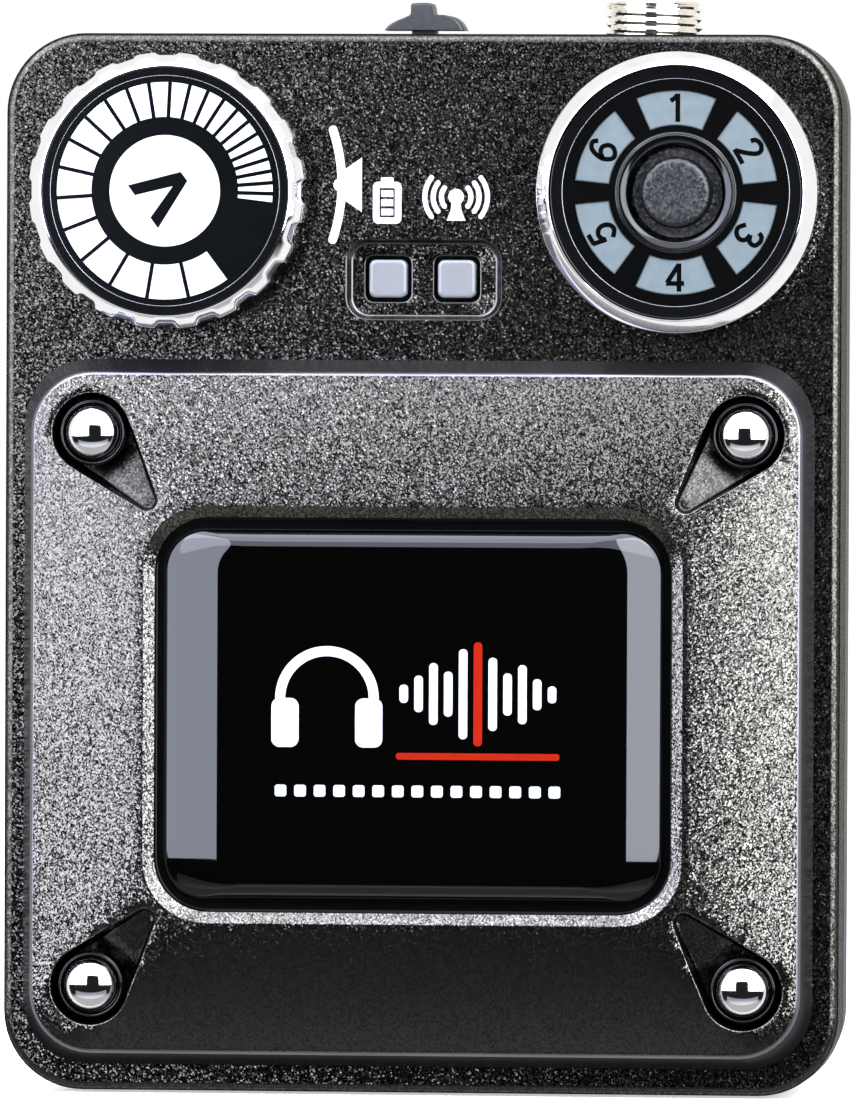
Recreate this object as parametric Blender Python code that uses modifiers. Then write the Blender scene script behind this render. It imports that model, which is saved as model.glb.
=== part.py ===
"""Wireless in-ear monitor receiver, belt-pack style, as separate solid pieces.

Units are metres. The pack is modelled lying on its back: +X to the right, +Y up
along its height, +Z out of the front face. Every piece hangs from one empty that
stands the pack up, so that in the world the front faces -Y and the foot is at Z = 0.
"""

import math

import bmesh
import bpy
from mathutils import Matrix, Vector

MM = 0.001
GAP = 0.3 * MM  # left between pieces that touch

# Case
WIDTH = 60.0 * MM
HEIGHT = 75.7 * MM
FRONT = 9.0 * MM
BACK = -9.0 * MM
PARTING = 4.0 * MM  # the front shell ends here, the rear shell GAP below
LIP = 0.6 * MM  # how far the front shell's inner lip reaches past the parting
WALL = 1.8 * MM
CORNER = 5.7 * MM
FRONT_EDGE = 1.2 * MM
BACK_EDGE = 2.0 * MM
REAR_TAPER = 0.0222  # share of its width that the rear shell loses towards the back
REAR_INNER_HALF = 27.7 * MM
POST_RADIUS = 2.3 * MM
POST_X = 25.1 * MM
POST_YS = (5.2 * MM, 70.3 * MM)

# Front plate, its badge and its screws
PLATE_BASE = (56.7 * MM, 50.46 * MM)
PLATE_EDGE = (54.6 * MM, 48.2 * MM)  # where the wall turns into the sloping face
PLATE_EDGE_Z = 11.0 * MM
PLATE_CENTRE_Y = 27.37 * MM
PLATE_FRONT = 13.0 * MM
PLATE_CORNER = 4.2 * MM
BADGE_CENTRE = (-0.18 * MM, 27.07 * MM)
BADGE_RECESS = (38.7 * MM, 29.8 * MM)
BADGE_FLOOR = (37.0 * MM, 27.6 * MM)
BADGE_FLOOR_Z = 11.9 * MM
BADGE = (35.8 * MM, 26.5 * MM)
BADGE_FRONT = 13.3 * MM
BADGE_CORNER = 3.0 * MM
SCREW_X = 23.4 * MM
SCREW_YS = (7.65 * MM, 47.15 * MM)
POCKET_FLOOR = 10.0 * MM
POCKET_TIP_FLOOR = 12.2 * MM
POCKET_RADIUS = 2.8 * MM
POCKET_TIP_RADIUS = 0.75 * MM
POCKET_TIP = (4.1 * MM, 4.8 * MM)  # from the screw towards the plate's middle

# Controls
CONTROL_Y = 64.4 * MM
VOLUME_X = -18.1 * MM
CHANNEL_X = 18.4 * MM
KNOB_RADIUS = 9.9 * MM
KNOB_FRONT = 12.6 * MM
KNOB_LOBES = 20
KNOB_GROOVE = 0.25 * MM
SHAFT_RADIUS = 1.5 * MM
BEZEL_RADIUS = 10.05 * MM
DIAL_RADIUS = 8.95 * MM
WINDOW_COUNT = 6
WINDOW_RADII = (4.76 * MM, 7.3 * MM)
WINDOW_HALF_ANGLE = math.radians(22.7)
BUTTON_RADIUS = 2.53 * MM
BUTTON_FRONT = 12.1 * MM
TRAY_CENTRE = (0.4 * MM, 58.15 * MM)
TRAY_SIZE = (11.15 * MM, 5.65 * MM)
TRAY_DEPTH = 0.5 * MM
LENS_XS = (-2.15 * MM, 2.78 * MM)
LENS_Y = 58.2 * MM
LENS_SIZE = 2.6 * MM

# Top wall and side wall
PORT_Z = -2.9 * MM
JACK_X = 15.5 * MM
JACK_RADIUS = 3.5 * MM
JACK_BORE = 1.85 * MM
JACK_TOP = 78.25 * MM
SLIDER_X = -1.1 * MM
SLIDER_TRAVEL = 2.0 * MM
USB_Y = 38.0 * MM
USB_Z = 0.5 * MM

# Inside
BOARD_FRONT = 3.6 * MM
BOARD_BACK = 2.4 * MM
BOARD_HALF = 26.3 * MM
BOARD_YS = (3.3 * MM, 72.2 * MM)
BOARD_CHAMFER = 8.3 * MM  # clears the screw posts
BOARD_SCREW = (24.5 * MM, 27.0 * MM)

# Belt clip
PIVOT = (50.0 * MM, -12.4 * MM)  # Y and Z of the clip's hinge
PIN_RADIUS = 0.8 * MM
CLIP_HALF = 7.1 * MM
CLIP_THICKNESS = 1.1 * MM
CLIP_SCREW = (5.0 * MM, 44.3 * MM)

ROUND = 24  # sides of a small round piece
BIG_ROUND = 48
CASE_STEPS = 6  # facets of a rounded corner of the case

PAINT = {
    "speckled_black": ((0.052, 0.050, 0.048), 0.45, 0.3),
    "speckled_grey": ((0.19, 0.19, 0.20), 0.4, 0.5),
    "gloss_black": ((0.006, 0.006, 0.005), 0.06, 0.0),
    "black_plastic": ((0.02, 0.02, 0.02), 0.5, 0.0),
    "rubber_black": ((0.015, 0.015, 0.015), 0.75, 0.0),
    "chrome": ((0.8, 0.8, 0.82), 0.08, 1.0),
    "nickel": ((0.72, 0.68, 0.62), 0.2, 1.0),
    "steel": ((0.55, 0.55, 0.57), 0.3, 1.0),
    "spring_steel": ((0.10, 0.10, 0.11), 0.35, 0.8),
    "white_print": ((0.92, 0.94, 0.96), 0.4, 0.0),
    "pale_lens": ((0.50, 0.58, 0.66), 0.3, 0.0),
    "board_green": ((0.02, 0.16, 0.07), 0.45, 0.0),
    "foil_silver": ((0.60, 0.61, 0.63), 0.35, 0.8),
    "foam_grey": ((0.12, 0.12, 0.13), 0.95, 0.0),
    "chip_black": ((0.03, 0.03, 0.03), 0.55, 0.0),
    "led_white": ((0.85, 0.85, 0.78), 0.4, 0.0),
    "wire_red": ((0.5, 0.02, 0.02), 0.45, 0.0),
    "wire_black": ((0.015, 0.015, 0.015), 0.45, 0.0),
}


def clear_scene():
    for obj in list(bpy.data.objects):
        bpy.data.objects.remove(obj)


def material(name):
    if name in bpy.data.materials:
        return bpy.data.materials[name]
    colour, roughness, metallic = PAINT[name]
    made = bpy.data.materials.new(name)
    made.use_nodes = True
    shader = made.node_tree.nodes["Principled BSDF"]
    shader.inputs["Base Color"].default_value = (*colour, 1.0)
    shader.inputs["Roughness"].default_value = roughness
    shader.inputs["Metallic"].default_value = metallic
    return made


def add_object(name, mesh, paint, at=(0.0, 0.0, 0.0)):
    """A piece of the pack, or a hidden helper when paint is None."""
    obj = bpy.data.objects.new(name, mesh)
    obj.location = at
    obj.parent = bpy.data.objects["stand"]
    if paint is None:
        obj.hide_render = True
        obj.display_type = "WIRE"
        bpy.data.collections["cutters"].objects.link(obj)
        return obj
    mesh.materials.append(material(paint))
    bpy.data.collections["receiver"].objects.link(obj)
    return obj


def finish_mesh(name, bm):
    mesh = bpy.data.meshes.new(name)
    bm.to_mesh(mesh)
    bm.free()
    mesh.shade_smooth()
    mesh.set_sharp_from_angle(angle=math.radians(35))
    return mesh


def along(edge, axis):
    direction = edge.verts[1].co - edge.verts[0].co
    return abs(direction[axis]) > 0.999 * direction.length


def box_bmesh(size, corner=0.0, segments=6, axis=2):
    """A box about the origin, with the four edges along one axis rounded."""
    bm = bmesh.new()
    bmesh.ops.create_cube(bm, size=1.0)
    bmesh.ops.scale(bm, vec=size, verts=bm.verts)
    if corner:
        edges = [edge for edge in bm.edges if along(edge, axis)]
        bmesh.ops.bevel(bm, geom=edges, offset=corner, segments=segments, profile=0.5, affect="EDGES")
    return bm


def round_rim(bm, level, radius, segments=3):
    """Rounds every edge that lies in the plane z = level."""
    edges = [e for e in bm.edges if all(abs(v.co.z - level) < 1e-7 for v in e.verts)]
    bmesh.ops.bevel(
        bm, geom=edges, offset=radius, segments=segments, profile=0.5, affect="EDGES", clamp_overlap=True
    )


def box(name, low, high, paint, corner=0.0, segments=4, axis=2):
    low, high = Vector(low), Vector(high)
    bm = box_bmesh(high - low, corner, segments, axis)
    return add_object(name, finish_mesh(name, bm), paint, (low + high) / 2)


def cylinder(name, radius, z0, z1, at, paint, sides=ROUND):
    bm = bmesh.new()
    bmesh.ops.create_cone(
        bm, cap_ends=True, segments=sides, radius1=radius, radius2=radius, depth=z1 - z0
    )
    return add_object(name, finish_mesh(name, bm), paint, (at[0], at[1], (z0 + z1) / 2))


def cylinder_along(name, radius, start, end, paint, sides=ROUND):
    """A cylinder between two points that lie on a line along X or Y."""
    start, end = Vector(start), Vector(end)
    bm = bmesh.new()
    bmesh.ops.create_cone(
        bm, cap_ends=True, segments=sides, radius1=radius, radius2=radius, depth=(end - start).length
    )
    turn = Vector((0, 0, 1)).rotation_difference(end - start).to_matrix()
    bmesh.ops.rotate(bm, cent=(0, 0, 0), matrix=turn, verts=bm.verts)
    return add_object(name, finish_mesh(name, bm), paint, (start + end) / 2)


def turned(name, profile, at, paint, sides=ROUND, tube=False):
    """A profile of (radius, z) points, outer side from top to bottom, turned about Z."""
    bm = bmesh.new()
    points = [bm.verts.new((radius, 0.0, z)) for radius, z in profile]
    pairs = list(zip(points, points[1:]))
    if tube:
        pairs.append((points[-1], points[0]))
    for pair in pairs:
        bm.edges.new(pair)
    mesh = bpy.data.meshes.new(name)
    bm.to_mesh(mesh)
    bm.free()
    obj = add_object(name, mesh, paint, (at[0], at[1], 0.0))
    screw = obj.modifiers.new("turn", "SCREW")
    screw.axis = "Z"
    screw.steps = screw.render_steps = sides
    screw.use_merge_vertices = True
    screw.merge_threshold = 0.00001
    screw.use_smooth_shade = True
    return obj


def ring(name, inner, outer, z0, z1, at, paint, sides=ROUND):
    return turned(name, [(outer, z1), (outer, z0), (inner, z0), (inner, z1)], at, paint, sides, tube=True)


def boolean(obj, other, operation):
    step = obj.modifiers.new(f"{operation.lower()}_{other.name}", "BOOLEAN")
    step.operation = operation
    step.solver = "EXACT"
    step.object = other


def cut(obj, *cutters):
    for cutter in cutters:
        boolean(obj, cutter, "DIFFERENCE")


def join(obj, *others):
    for other in others:
        boolean(obj, other, "UNION")


def mirrored(point):
    """The point and its twin across the middle plane."""
    return [(-point[0], point[1]), (point[0], point[1])]


def corners(x, ys):
    return [(side * x, y) for y in ys for side in (-1, 1)]


def strip(points, thickness):
    """The closed outline of a bent strip whose middle line runs through the points."""
    left, right = [], []
    for i, point in enumerate(points):
        before = Vector(points[max(i - 1, 0)])
        after = Vector(points[min(i + 1, len(points) - 1)])
        direction = (after - before).normalized()
        normal = Vector((-direction.y, direction.x)) * thickness / 2
        left.append(Vector(point) + normal)
        right.append(Vector(point) - normal)
    return left + right[::-1]


def extruded(name, outline, depth, paint, turn=None, at=(0.0, 0.0, 0.0)):
    """A flat outline given half the depth to each side, made from a filled curve."""
    curve = bpy.data.curves.new(name, "CURVE")
    curve.dimensions = "2D"
    curve.fill_mode = "BOTH"
    curve.extrude = depth / 2
    spline = curve.splines.new("POLY")
    spline.points.add(len(outline) - 1)
    for point, place in zip(spline.points, outline):
        point.co = (place[0], place[1], 0.0, 1.0)
    spline.use_cyclic_u = True
    flat = bpy.data.objects.new(name + "_outline", curve)
    bpy.context.scene.collection.objects.link(flat)
    solid = bpy.data.meshes.new_from_object(flat.evaluated_get(bpy.context.evaluated_depsgraph_get()))
    bpy.data.objects.remove(flat)
    bm = bmesh.new()
    bm.from_mesh(solid)
    bpy.data.meshes.remove(solid)
    bmesh.ops.remove_doubles(bm, verts=bm.verts, dist=2e-6)
    if turn:
        bmesh.ops.rotate(bm, cent=(0, 0, 0), matrix=turn, verts=bm.verts)
    bmesh.ops.recalc_face_normals(bm, faces=bm.faces)
    return add_object(name, finish_mesh(name, bm), paint, at)


def wire(name, points, radius, paint):
    """A round wire through the points, made from a curve with filled ends."""
    curve = bpy.data.curves.new(name, "CURVE")
    curve.dimensions = "3D"
    curve.bevel_depth = radius
    curve.bevel_resolution = 2
    curve.use_fill_caps = True
    spline = curve.splines.new("POLY")
    spline.points.add(len(points) - 1)
    for point, place in zip(spline.points, points):
        point.co = (*place, 1.0)
    curve.materials.append(material(paint))
    obj = bpy.data.objects.new(name, curve)
    obj.parent = bpy.data.objects["stand"]
    bpy.data.collections["receiver"].objects.link(obj)
    return obj


def sector_outline(inner, outer, half_angle, middle, steps=5):
    """A slice of a flat ring, centred on one direction."""
    angles = [middle - half_angle + 2 * half_angle * i / steps for i in range(steps + 1)]
    far = [(outer * math.cos(a), outer * math.sin(a)) for a in angles]
    near = [(inner * math.cos(a), inner * math.sin(a)) for a in angles]
    return far + near[::-1]


def case_block(name, half_x, inset, z0, z1, corner):
    """A helper the shape of the case's outline, drawn in by a wall or a gap."""
    low, high = (-half_x, inset, z0), (half_x, HEIGHT - inset, z1)
    return box(name, low, high, None, corner, CASE_STEPS)


def front_shell():
    lip_end = PARTING - LIP
    bm = box_bmesh((WIDTH, HEIGHT, FRONT - lip_end), CORNER, CASE_STEPS)
    round_rim(bm, (FRONT - lip_end) / 2, FRONT_EDGE, 2)
    middle = (0.0, HEIGHT / 2, (FRONT + lip_end) / 2)
    shell = add_object("front_shell", finish_mesh("front_shell", bm), "speckled_black", middle)
    lip_half, lip_inset = REAR_INNER_HALF - GAP, WALL + GAP
    rabbet = box(
        "rabbet", (-WIDTH, -WIDTH, lip_end - MM), (WIDTH, HEIGHT + WIDTH, PARTING), None
    )
    cut(rabbet, case_block("lip_core", lip_half, lip_inset, 0.0, FRONT, CORNER - WALL))
    lip_wall = 0.7 * MM
    cut(
        shell,
        rabbet,
        case_block(
            "lip_hollow", lip_half - lip_wall, lip_inset + lip_wall, 0.0, PARTING + MM, CORNER - WALL - lip_wall
        ),
        case_block("front_hollow", WIDTH / 2 - WALL, WALL, PARTING + MM / 2, FRONT - WALL, CORNER - WALL),
    )
    root = FRONT - WALL / 2
    for i, at in enumerate(corners(POST_X, POST_YS)):
        join(shell, cylinder(f"front_post_{i}", POST_RADIUS, PARTING - LIP, root, at, None, 12))
    for i, at in enumerate(corners(SCREW_X, SCREW_YS)):
        join(shell, cylinder(f"plate_post_{i}", 2.05 * MM, 5.7 * MM, root, at, None, 12))
    for i, at in enumerate(mirrored(BOARD_SCREW)):
        join(shell, cylinder(f"board_post_{i}", 1.8 * MM, BOARD_FRONT + GAP, root, at, None, 12))
    for i, at in enumerate(corners(POST_X, POST_YS)):
        cut(shell, cylinder(f"front_pilot_{i}", 1.1 * MM, PARTING - MM, 6.6 * MM, at, None, 12))
    for i, at in enumerate(corners(SCREW_X, SCREW_YS)):
        cut(shell, cylinder(f"plate_pilot_{i}", 1.1 * MM, 6.2 * MM, FRONT + MM, at, None, 12))
    for i, at in enumerate(mirrored(BOARD_SCREW)):
        cut(shell, cylinder(f"board_pilot_{i}", 0.9 * MM, BOARD_FRONT, 6.9 * MM, at, None, 12))
    bushing_hole = cylinder(
        "bushing_hole", 3.4 * MM, 5 * MM, FRONT + MM, (VOLUME_X, CONTROL_Y), None
    )
    dial_hole = cylinder("dial_hole", 7.9 * MM, 5 * MM, FRONT + MM, (CHANNEL_X, CONTROL_Y), None, 48)
    half_x, half_y = TRAY_SIZE[0] / 2, TRAY_SIZE[1] / 2
    tray = box(
        "tray_recess",
        (TRAY_CENTRE[0] - half_x, TRAY_CENTRE[1] - half_y, FRONT - TRAY_DEPTH),
        (TRAY_CENTRE[0] + half_x, TRAY_CENTRE[1] + half_y, FRONT + MM),
        None, 1.5 * MM,
    )
    cut(shell, bushing_hole, dial_hole, tray)
    reach = LENS_SIZE / 2 + GAP
    for i, x in enumerate(LENS_XS):
        low = (x - reach, LENS_Y - reach, 5 * MM)
        high = (x + reach, LENS_Y + reach, FRONT + MM)
        cut(shell, box(f"lens_hole_{i}", low, high, None, 0.6 * MM))


def rear_shell():
    depth = PARTING - GAP - BACK
    bm = box_bmesh((WIDTH, HEIGHT, depth), CORNER, CASE_STEPS)
    for vert in bm.verts:
        vert.co.x *= 1 - REAR_TAPER * (depth / 2 - vert.co.z) / depth
    round_rim(bm, -depth / 2, BACK_EDGE)
    middle = (0.0, HEIGHT / 2, BACK + depth / 2)
    shell = add_object("rear_shell", finish_mesh("rear_shell", bm), "speckled_black", middle)
    cut(shell, case_block("rear_hollow", REAR_INNER_HALF, WALL, BACK + WALL, FRONT, CORNER - WALL))
    root = BACK + WALL / 2
    for i, at in enumerate(corners(POST_X, POST_YS)):
        join(shell, cylinder(f"rear_post_{i}", POST_RADIUS, root, PARTING - LIP - GAP, at, None, 12))
    for i, at in enumerate(mirrored(CLIP_SCREW)):
        join(shell, cylinder(f"clip_boss_{i}", 2.0 * MM, root, -5.4 * MM, at, None, 12))
    for i, at in enumerate(corners(POST_X, POST_YS)):
        cut(
            shell,
            cylinder(f"rear_hole_{i}", 1.1 * MM, BACK - MM, PARTING + MM, at, None, 12),
            cylinder(f"counterbore_{i}", 1.85 * MM, BACK - MM, -7.4 * MM, at, None, 12),
        )
    for i, at in enumerate(mirrored(CLIP_SCREW)):
        cut(shell, cylinder(f"clip_pilot_{i}", 1.1 * MM, BACK - MM, -5.8 * MM, at, None, 12))
    above, inside = HEIGHT + MM, HEIGHT - WALL - MM
    cut(
        shell,
        cylinder_along(
            "jack_hole", JACK_RADIUS + GAP, (JACK_X, inside, PORT_Z), (JACK_X, above, PORT_Z), None
        ),
        box(
            "slider_slot", (SLIDER_X - 1.3 * MM, inside, PORT_Z - 1.1 * MM),
            (SLIDER_X + SLIDER_TRAVEL + 1.3 * MM, above, PORT_Z + 1.1 * MM), None,
        ),
        box(
            "usb_hole", (-WIDTH / 2 - MM, USB_Y - 4.8 * MM, USB_Z - 1.9 * MM),
            (-REAR_INNER_HALF + MM, USB_Y + 4.8 * MM, USB_Z + 1.9 * MM), None, 1.8 * MM, 5, axis=0,
        ),
    )


def pocket_cutter(name, at):
    """The hull of a wide round well at the screw and a narrow shallow end towards the middle."""
    towards = (-math.copysign(1, at[0]), 1 if at[1] < PLATE_CENTRE_Y else -1)
    tip = (towards[0] * POCKET_TIP[0], towards[1] * POCKET_TIP[1])
    bm = bmesh.new()
    rings = (
        ((0.0, 0.0), POCKET_RADIUS, POCKET_FLOOR, 20),
        (tip, POCKET_TIP_RADIUS, POCKET_TIP_FLOOR, 8),
    )
    for middle, radius, floor, sides in rings:
        for z in (floor, PLATE_FRONT + MM):
            place = Matrix.Translation((middle[0], middle[1], z))
            bmesh.ops.create_circle(bm, segments=sides, radius=radius, matrix=place)
    hull = bmesh.ops.convex_hull(bm, input=bm.verts)
    spare = {g for key in ("geom_interior", "geom_unused") for g in hull[key]}
    bmesh.ops.delete(bm, geom=[g for g in spare if isinstance(g, bmesh.types.BMVert)], context="VERTS")
    bmesh.ops.recalc_face_normals(bm, faces=bm.faces)
    return add_object(name, finish_mesh(name, bm), None, (at[0], at[1], 0.0))


def rounded_rectangle(bm, size, corner, middle, z, steps=6):
    """A loop of vertices. Loops with the same number of steps match one for one."""
    loop = []
    for quarter, (side_x, side_y) in enumerate(((1, 1), (-1, 1), (-1, -1), (1, -1))):
        x = middle[0] + side_x * (size[0] / 2 - corner)
        y = middle[1] + side_y * (size[1] / 2 - corner)
        for step in range(steps + 1):
            turn = math.pi / 2 * (quarter + step / steps)
            loop.append(bm.verts.new((x + corner * math.cos(turn), y + corner * math.sin(turn), z)))
    return loop


def lofted(name, sections, paint, steps=6):
    """A solid through rounded rectangles, each (size, corner, middle, z), from the lowest up."""
    bm = bmesh.new()
    loops = [rounded_rectangle(bm, *section, steps) for section in sections]
    for lower, upper in zip(loops, loops[1:]):
        for i in range(len(lower)):
            j = (i + 1) % len(lower)
            bm.faces.new((lower[i], lower[j], upper[j], upper[i]))
    bm.faces.new(loops[0][::-1])
    bm.faces.new(loops[-1])
    return add_object(name, finish_mesh(name, bm), paint)


def front_plate():
    """A slab whose face rises from its edge to the badge recess like a picture frame."""
    middle = (0.0, PLATE_CENTRE_Y)
    recess_corner = 3.3 * MM
    plate = lofted(
        "front_plate",
        (
            (PLATE_BASE, PLATE_CORNER + 0.5 * MM, middle, FRONT + GAP),
            (PLATE_EDGE, PLATE_CORNER, middle, PLATE_EDGE_Z),
            (BADGE_RECESS, recess_corner + MM, BADGE_CENTRE, PLATE_FRONT),
        ),
        "speckled_grey",
    )
    slope = (BADGE_RECESS[0] - BADGE_FLOOR[0]) / (PLATE_FRONT - BADGE_FLOOR_Z)
    above = [side + slope * MM for side in BADGE_RECESS]
    recess = lofted(
        "badge_recess",
        (
            (BADGE_FLOOR, recess_corner, BADGE_CENTRE, BADGE_FLOOR_Z),
            (above, recess_corner + 1.5 * MM, BADGE_CENTRE, PLATE_FRONT + MM),
        ),
        None,
    )
    cut(plate, recess)
    for i, at in enumerate(corners(SCREW_X, SCREW_YS)):
        cut(
            plate,
            pocket_cutter(f"pocket_{i}", at),
            cylinder(f"plate_hole_{i}", 1.15 * MM, FRONT - MM, PLATE_FRONT, at, None, 16),
        )


def badge():
    thickness = BADGE_FRONT - BADGE_FLOOR_Z - GAP
    bm = box_bmesh((BADGE[0], BADGE[1], thickness), BADGE_CORNER, 6)
    round_rim(bm, thickness / 2, 0.4 * MM, 2)
    middle = (*BADGE_CENTRE, BADGE_FRONT - thickness / 2)
    add_object("badge", finish_mesh("badge", bm), "gloss_black", middle)


def screw(name, at, head_radius, head, shank_radius, tip, paint, outward=1):
    """A screw along Z with a domed head between head[0], its seat, and head[1], its top."""
    seat, top = head
    rise = (top - seat) * outward
    dome = [(head_radius * math.sin(a), seat + outward * rise * (0.35 + 0.65 * math.cos(a)))
            for a in (0.0, 0.55, 1.1, math.pi / 2)]
    profile = dome + [(head_radius, seat), (shank_radius, seat), (shank_radius, tip), (0.0, tip)]
    return turned(name, profile if outward > 0 else profile[::-1], at, paint, 12)


def plate_fasteners():
    for i, at in enumerate(corners(SCREW_X, SCREW_YS), 1):
        low = POCKET_FLOOR + GAP
        high = low + 0.6 * MM
        ring(f"plate_washer_{i}", 1.15 * MM, 2.15 * MM, low, high, at, "rubber_black", 16)
        seat = high + GAP
        screw(f"plate_screw_{i}", at, 1.65 * MM, (seat, seat + 1.1 * MM), 0.8 * MM, 6.5 * MM, "chrome")


def case_fasteners():
    for i, at in enumerate(corners(POST_X, POST_YS), 1):
        screw(f"case_screw_{i}", at, 1.5 * MM, (-7.7 * MM, -8.75 * MM), 0.8 * MM, 6.2 * MM, "steel", -1)
    for i, at in enumerate(mirrored(BOARD_SCREW), 1):
        screw(f"board_screw_{i}", at, 1.6 * MM, (2.1 * MM, 1.2 * MM), 0.6 * MM, 6.5 * MM, "steel", -1)


def knob_outline(radius):
    """The scalloped edge of the knob: wide lobes with a shallow groove between each two."""
    outline = []
    per_lobe = (0.0, 0.15, 0.3, 0.7, 0.85)
    for lobe in range(KNOB_LOBES):
        for share in per_lobe:
            angle = 2 * math.pi * (lobe + share) / KNOB_LOBES
            depth = KNOB_GROOVE * max(0.0, math.cos(math.pi * min(share, 1 - share) / 0.6))
            outline.append(((radius - depth) * math.cos(angle), (radius - depth) * math.sin(angle)))
    return outline


def volume_knob():
    at = (VOLUME_X, CONTROL_Y)
    base = FRONT + GAP
    knob = extruded(
        "volume_knob", knob_outline(KNOB_RADIUS), KNOB_FRONT - base, "chrome",
        at=(*at, (KNOB_FRONT + base) / 2),
    )
    cut(
        knob,
        ring("knob_hollow", 2.7 * MM, 8.4 * MM, base - MM, 11.4 * MM, at, None, 48),
        cylinder("knob_hub_end", 3.2 * MM, base - MM, 10.4 * MM, at, None),
        cylinder("knob_bore", SHAFT_RADIUS + GAP, base - MM, 11.3 * MM, at, None, 24),
        cylinder("knob_dish", 8.5 * MM, 12.0 * MM, KNOB_FRONT + MM, at, None, 48),
    )
    cylinder("volume_label", 8.2 * MM, 12.3 * MM, KNOB_FRONT, at, "white_print", 48)
    cylinder("volume_shaft", SHAFT_RADIUS, 1.2 * MM, 11.0 * MM, at, "steel", 24)


def potentiometer():
    at = (VOLUME_X, CONTROL_Y)
    half = 4.8 * MM
    body = box(
        "potentiometer", (at[0] - half, at[1] - half, -4.7 * MM),
        (at[0] + half, at[1] + half, BOARD_BACK - GAP), "steel",
    )
    join(body, cylinder("bushing", 3.0 * MM, 1.0 * MM, 10.0 * MM, at, None))
    cut(body, cylinder("bushing_bore", 1.9 * MM, 0.9 * MM, 11.0 * MM, at, None, 24))
    nut = cylinder("potentiometer_nut", 4.6 * MM, FRONT + GAP, 10.8 * MM, at, "nickel", 6)
    cut(nut, cylinder("nut_bore", 3.3 * MM, FRONT, 12.0 * MM, at, None, 24))


def channel_dial():
    at = (CHANNEL_X, CONTROL_Y)
    base = FRONT + GAP
    profile = [
        (BEZEL_RADIUS - 0.7 * MM, 12.2 * MM), (BEZEL_RADIUS, 11.5 * MM), (BEZEL_RADIUS, base),
        (9.25 * MM, base), (9.25 * MM, 12.2 * MM),
    ]
    turned("channel_bezel", profile, at, "chrome", BIG_ROUND, tube=True)
    face, under, lip, foot = 11.9 * MM, 11.2 * MM, 12.1 * MM, 7.0 * MM
    profile = [
        (4.2 * MM, lip), (4.2 * MM, face), (DIAL_RADIUS, face), (DIAL_RADIUS, base), (8.3 * MM, base),
        (8.3 * MM, under), (4.2 * MM, under), (4.2 * MM, foot), (3.5 * MM, foot), (3.5 * MM, lip),
    ]
    dial = turned("channel_dial", profile, at, "gloss_black", BIG_ROUND, tube=True)
    guide = ring("channel_light_guide", 4.5 * MM, 7.6 * MM, 5.0 * MM, 10.9 * MM, at, "pale_lens", 48)
    for i in range(WINDOW_COUNT):
        middle = math.radians(90 - 60 * i)
        outline = sector_outline(*WINDOW_RADII, WINDOW_HALF_ANGLE, middle)
        cut(dial, extruded(f"window_{i + 1}", outline, 2 * MM, None, at=(*at, 11.5 * MM)))
        inner, outer = WINDOW_RADII[0] + GAP, WINDOW_RADII[1] - GAP
        slim = WINDOW_HALF_ANGLE - GAP / inner
        outline = sector_outline(inner, outer, slim, middle)
        join(guide, extruded(f"pane_{i + 1}", outline, 1.4 * MM, None, at=(*at, 11.0 * MM)))
        chip = (at[0] + 6.0 * MM * math.cos(middle), at[1] + 6.0 * MM * math.sin(middle))
        surface_led(f"channel_led_{i + 1}", chip)


def surface_led(name, at):
    low = (at[0] - 0.8 * MM, at[1] - 0.4 * MM, BOARD_FRONT + GAP)
    high = (at[0] + 0.8 * MM, at[1] + 0.4 * MM, BOARD_FRONT + GAP + 0.7 * MM)
    box(name, low, high, "led_white")


def channel_button():
    at = (CHANNEL_X, CONTROL_Y)
    flange, seat = 6.7 * MM, 6.2 * MM
    profile = [
        (0.0, BUTTON_FRONT), (2.1 * MM, BUTTON_FRONT), (2.4 * MM, BUTTON_FRONT - 0.12 * MM),
        (BUTTON_RADIUS, BUTTON_FRONT - 0.45 * MM), (BUTTON_RADIUS, 10.0 * MM), (3.2 * MM, 10.0 * MM),
        (3.2 * MM, flange), (3.9 * MM, flange), (3.9 * MM, seat), (0.0, seat),
    ]
    turned("channel_button", profile, at, "black_plastic", 24)
    base = BOARD_FRONT + GAP
    half = 2.5 * MM
    switch = box(
        "tact_switch", (at[0] - half, at[1] - half, base), (at[0] + half, at[1] + half, 5.2 * MM), "steel"
    )
    join(switch, cylinder("tact_plunger", 1.2 * MM, 4.5 * MM, 5.6 * MM, at, None, 16))


def status_lights():
    half = LENS_SIZE / 2
    for i, x in enumerate(LENS_XS, 1):
        low, high = (x - half, LENS_Y - half, 4.9 * MM), (x + half, LENS_Y + half, 8.9 * MM)
        box(f"status_lens_{i}", low, high, "pale_lens", 0.5 * MM)
        surface_led(f"status_led_{i}", (x, LENS_Y))


def headphone_jack():
    top = HEIGHT - WALL
    body = box(
        "headphone_jack", (JACK_X - 3.6 * MM, 61.0 * MM, -6.0 * MM),
        (JACK_X + 3.6 * MM, top - MM, BOARD_BACK - GAP), "black_plastic",
    )
    cut(body, cylinder_along("jack_bore", JACK_BORE, (JACK_X, 62.5 * MM, PORT_Z), (JACK_X, top, PORT_Z), None, 20))
    start = (JACK_X, top - MM + GAP, PORT_Z)
    barrel = cylinder_along("jack_barrel", JACK_RADIUS, start, (JACK_X, JACK_TOP, PORT_Z), "nickel")
    bore = cylinder_along(
        "barrel_bore", JACK_BORE, (JACK_X, top - 2 * MM, PORT_Z), (JACK_X, JACK_TOP + MM, PORT_Z), None, 20
    )
    cut(barrel, bore)


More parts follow.
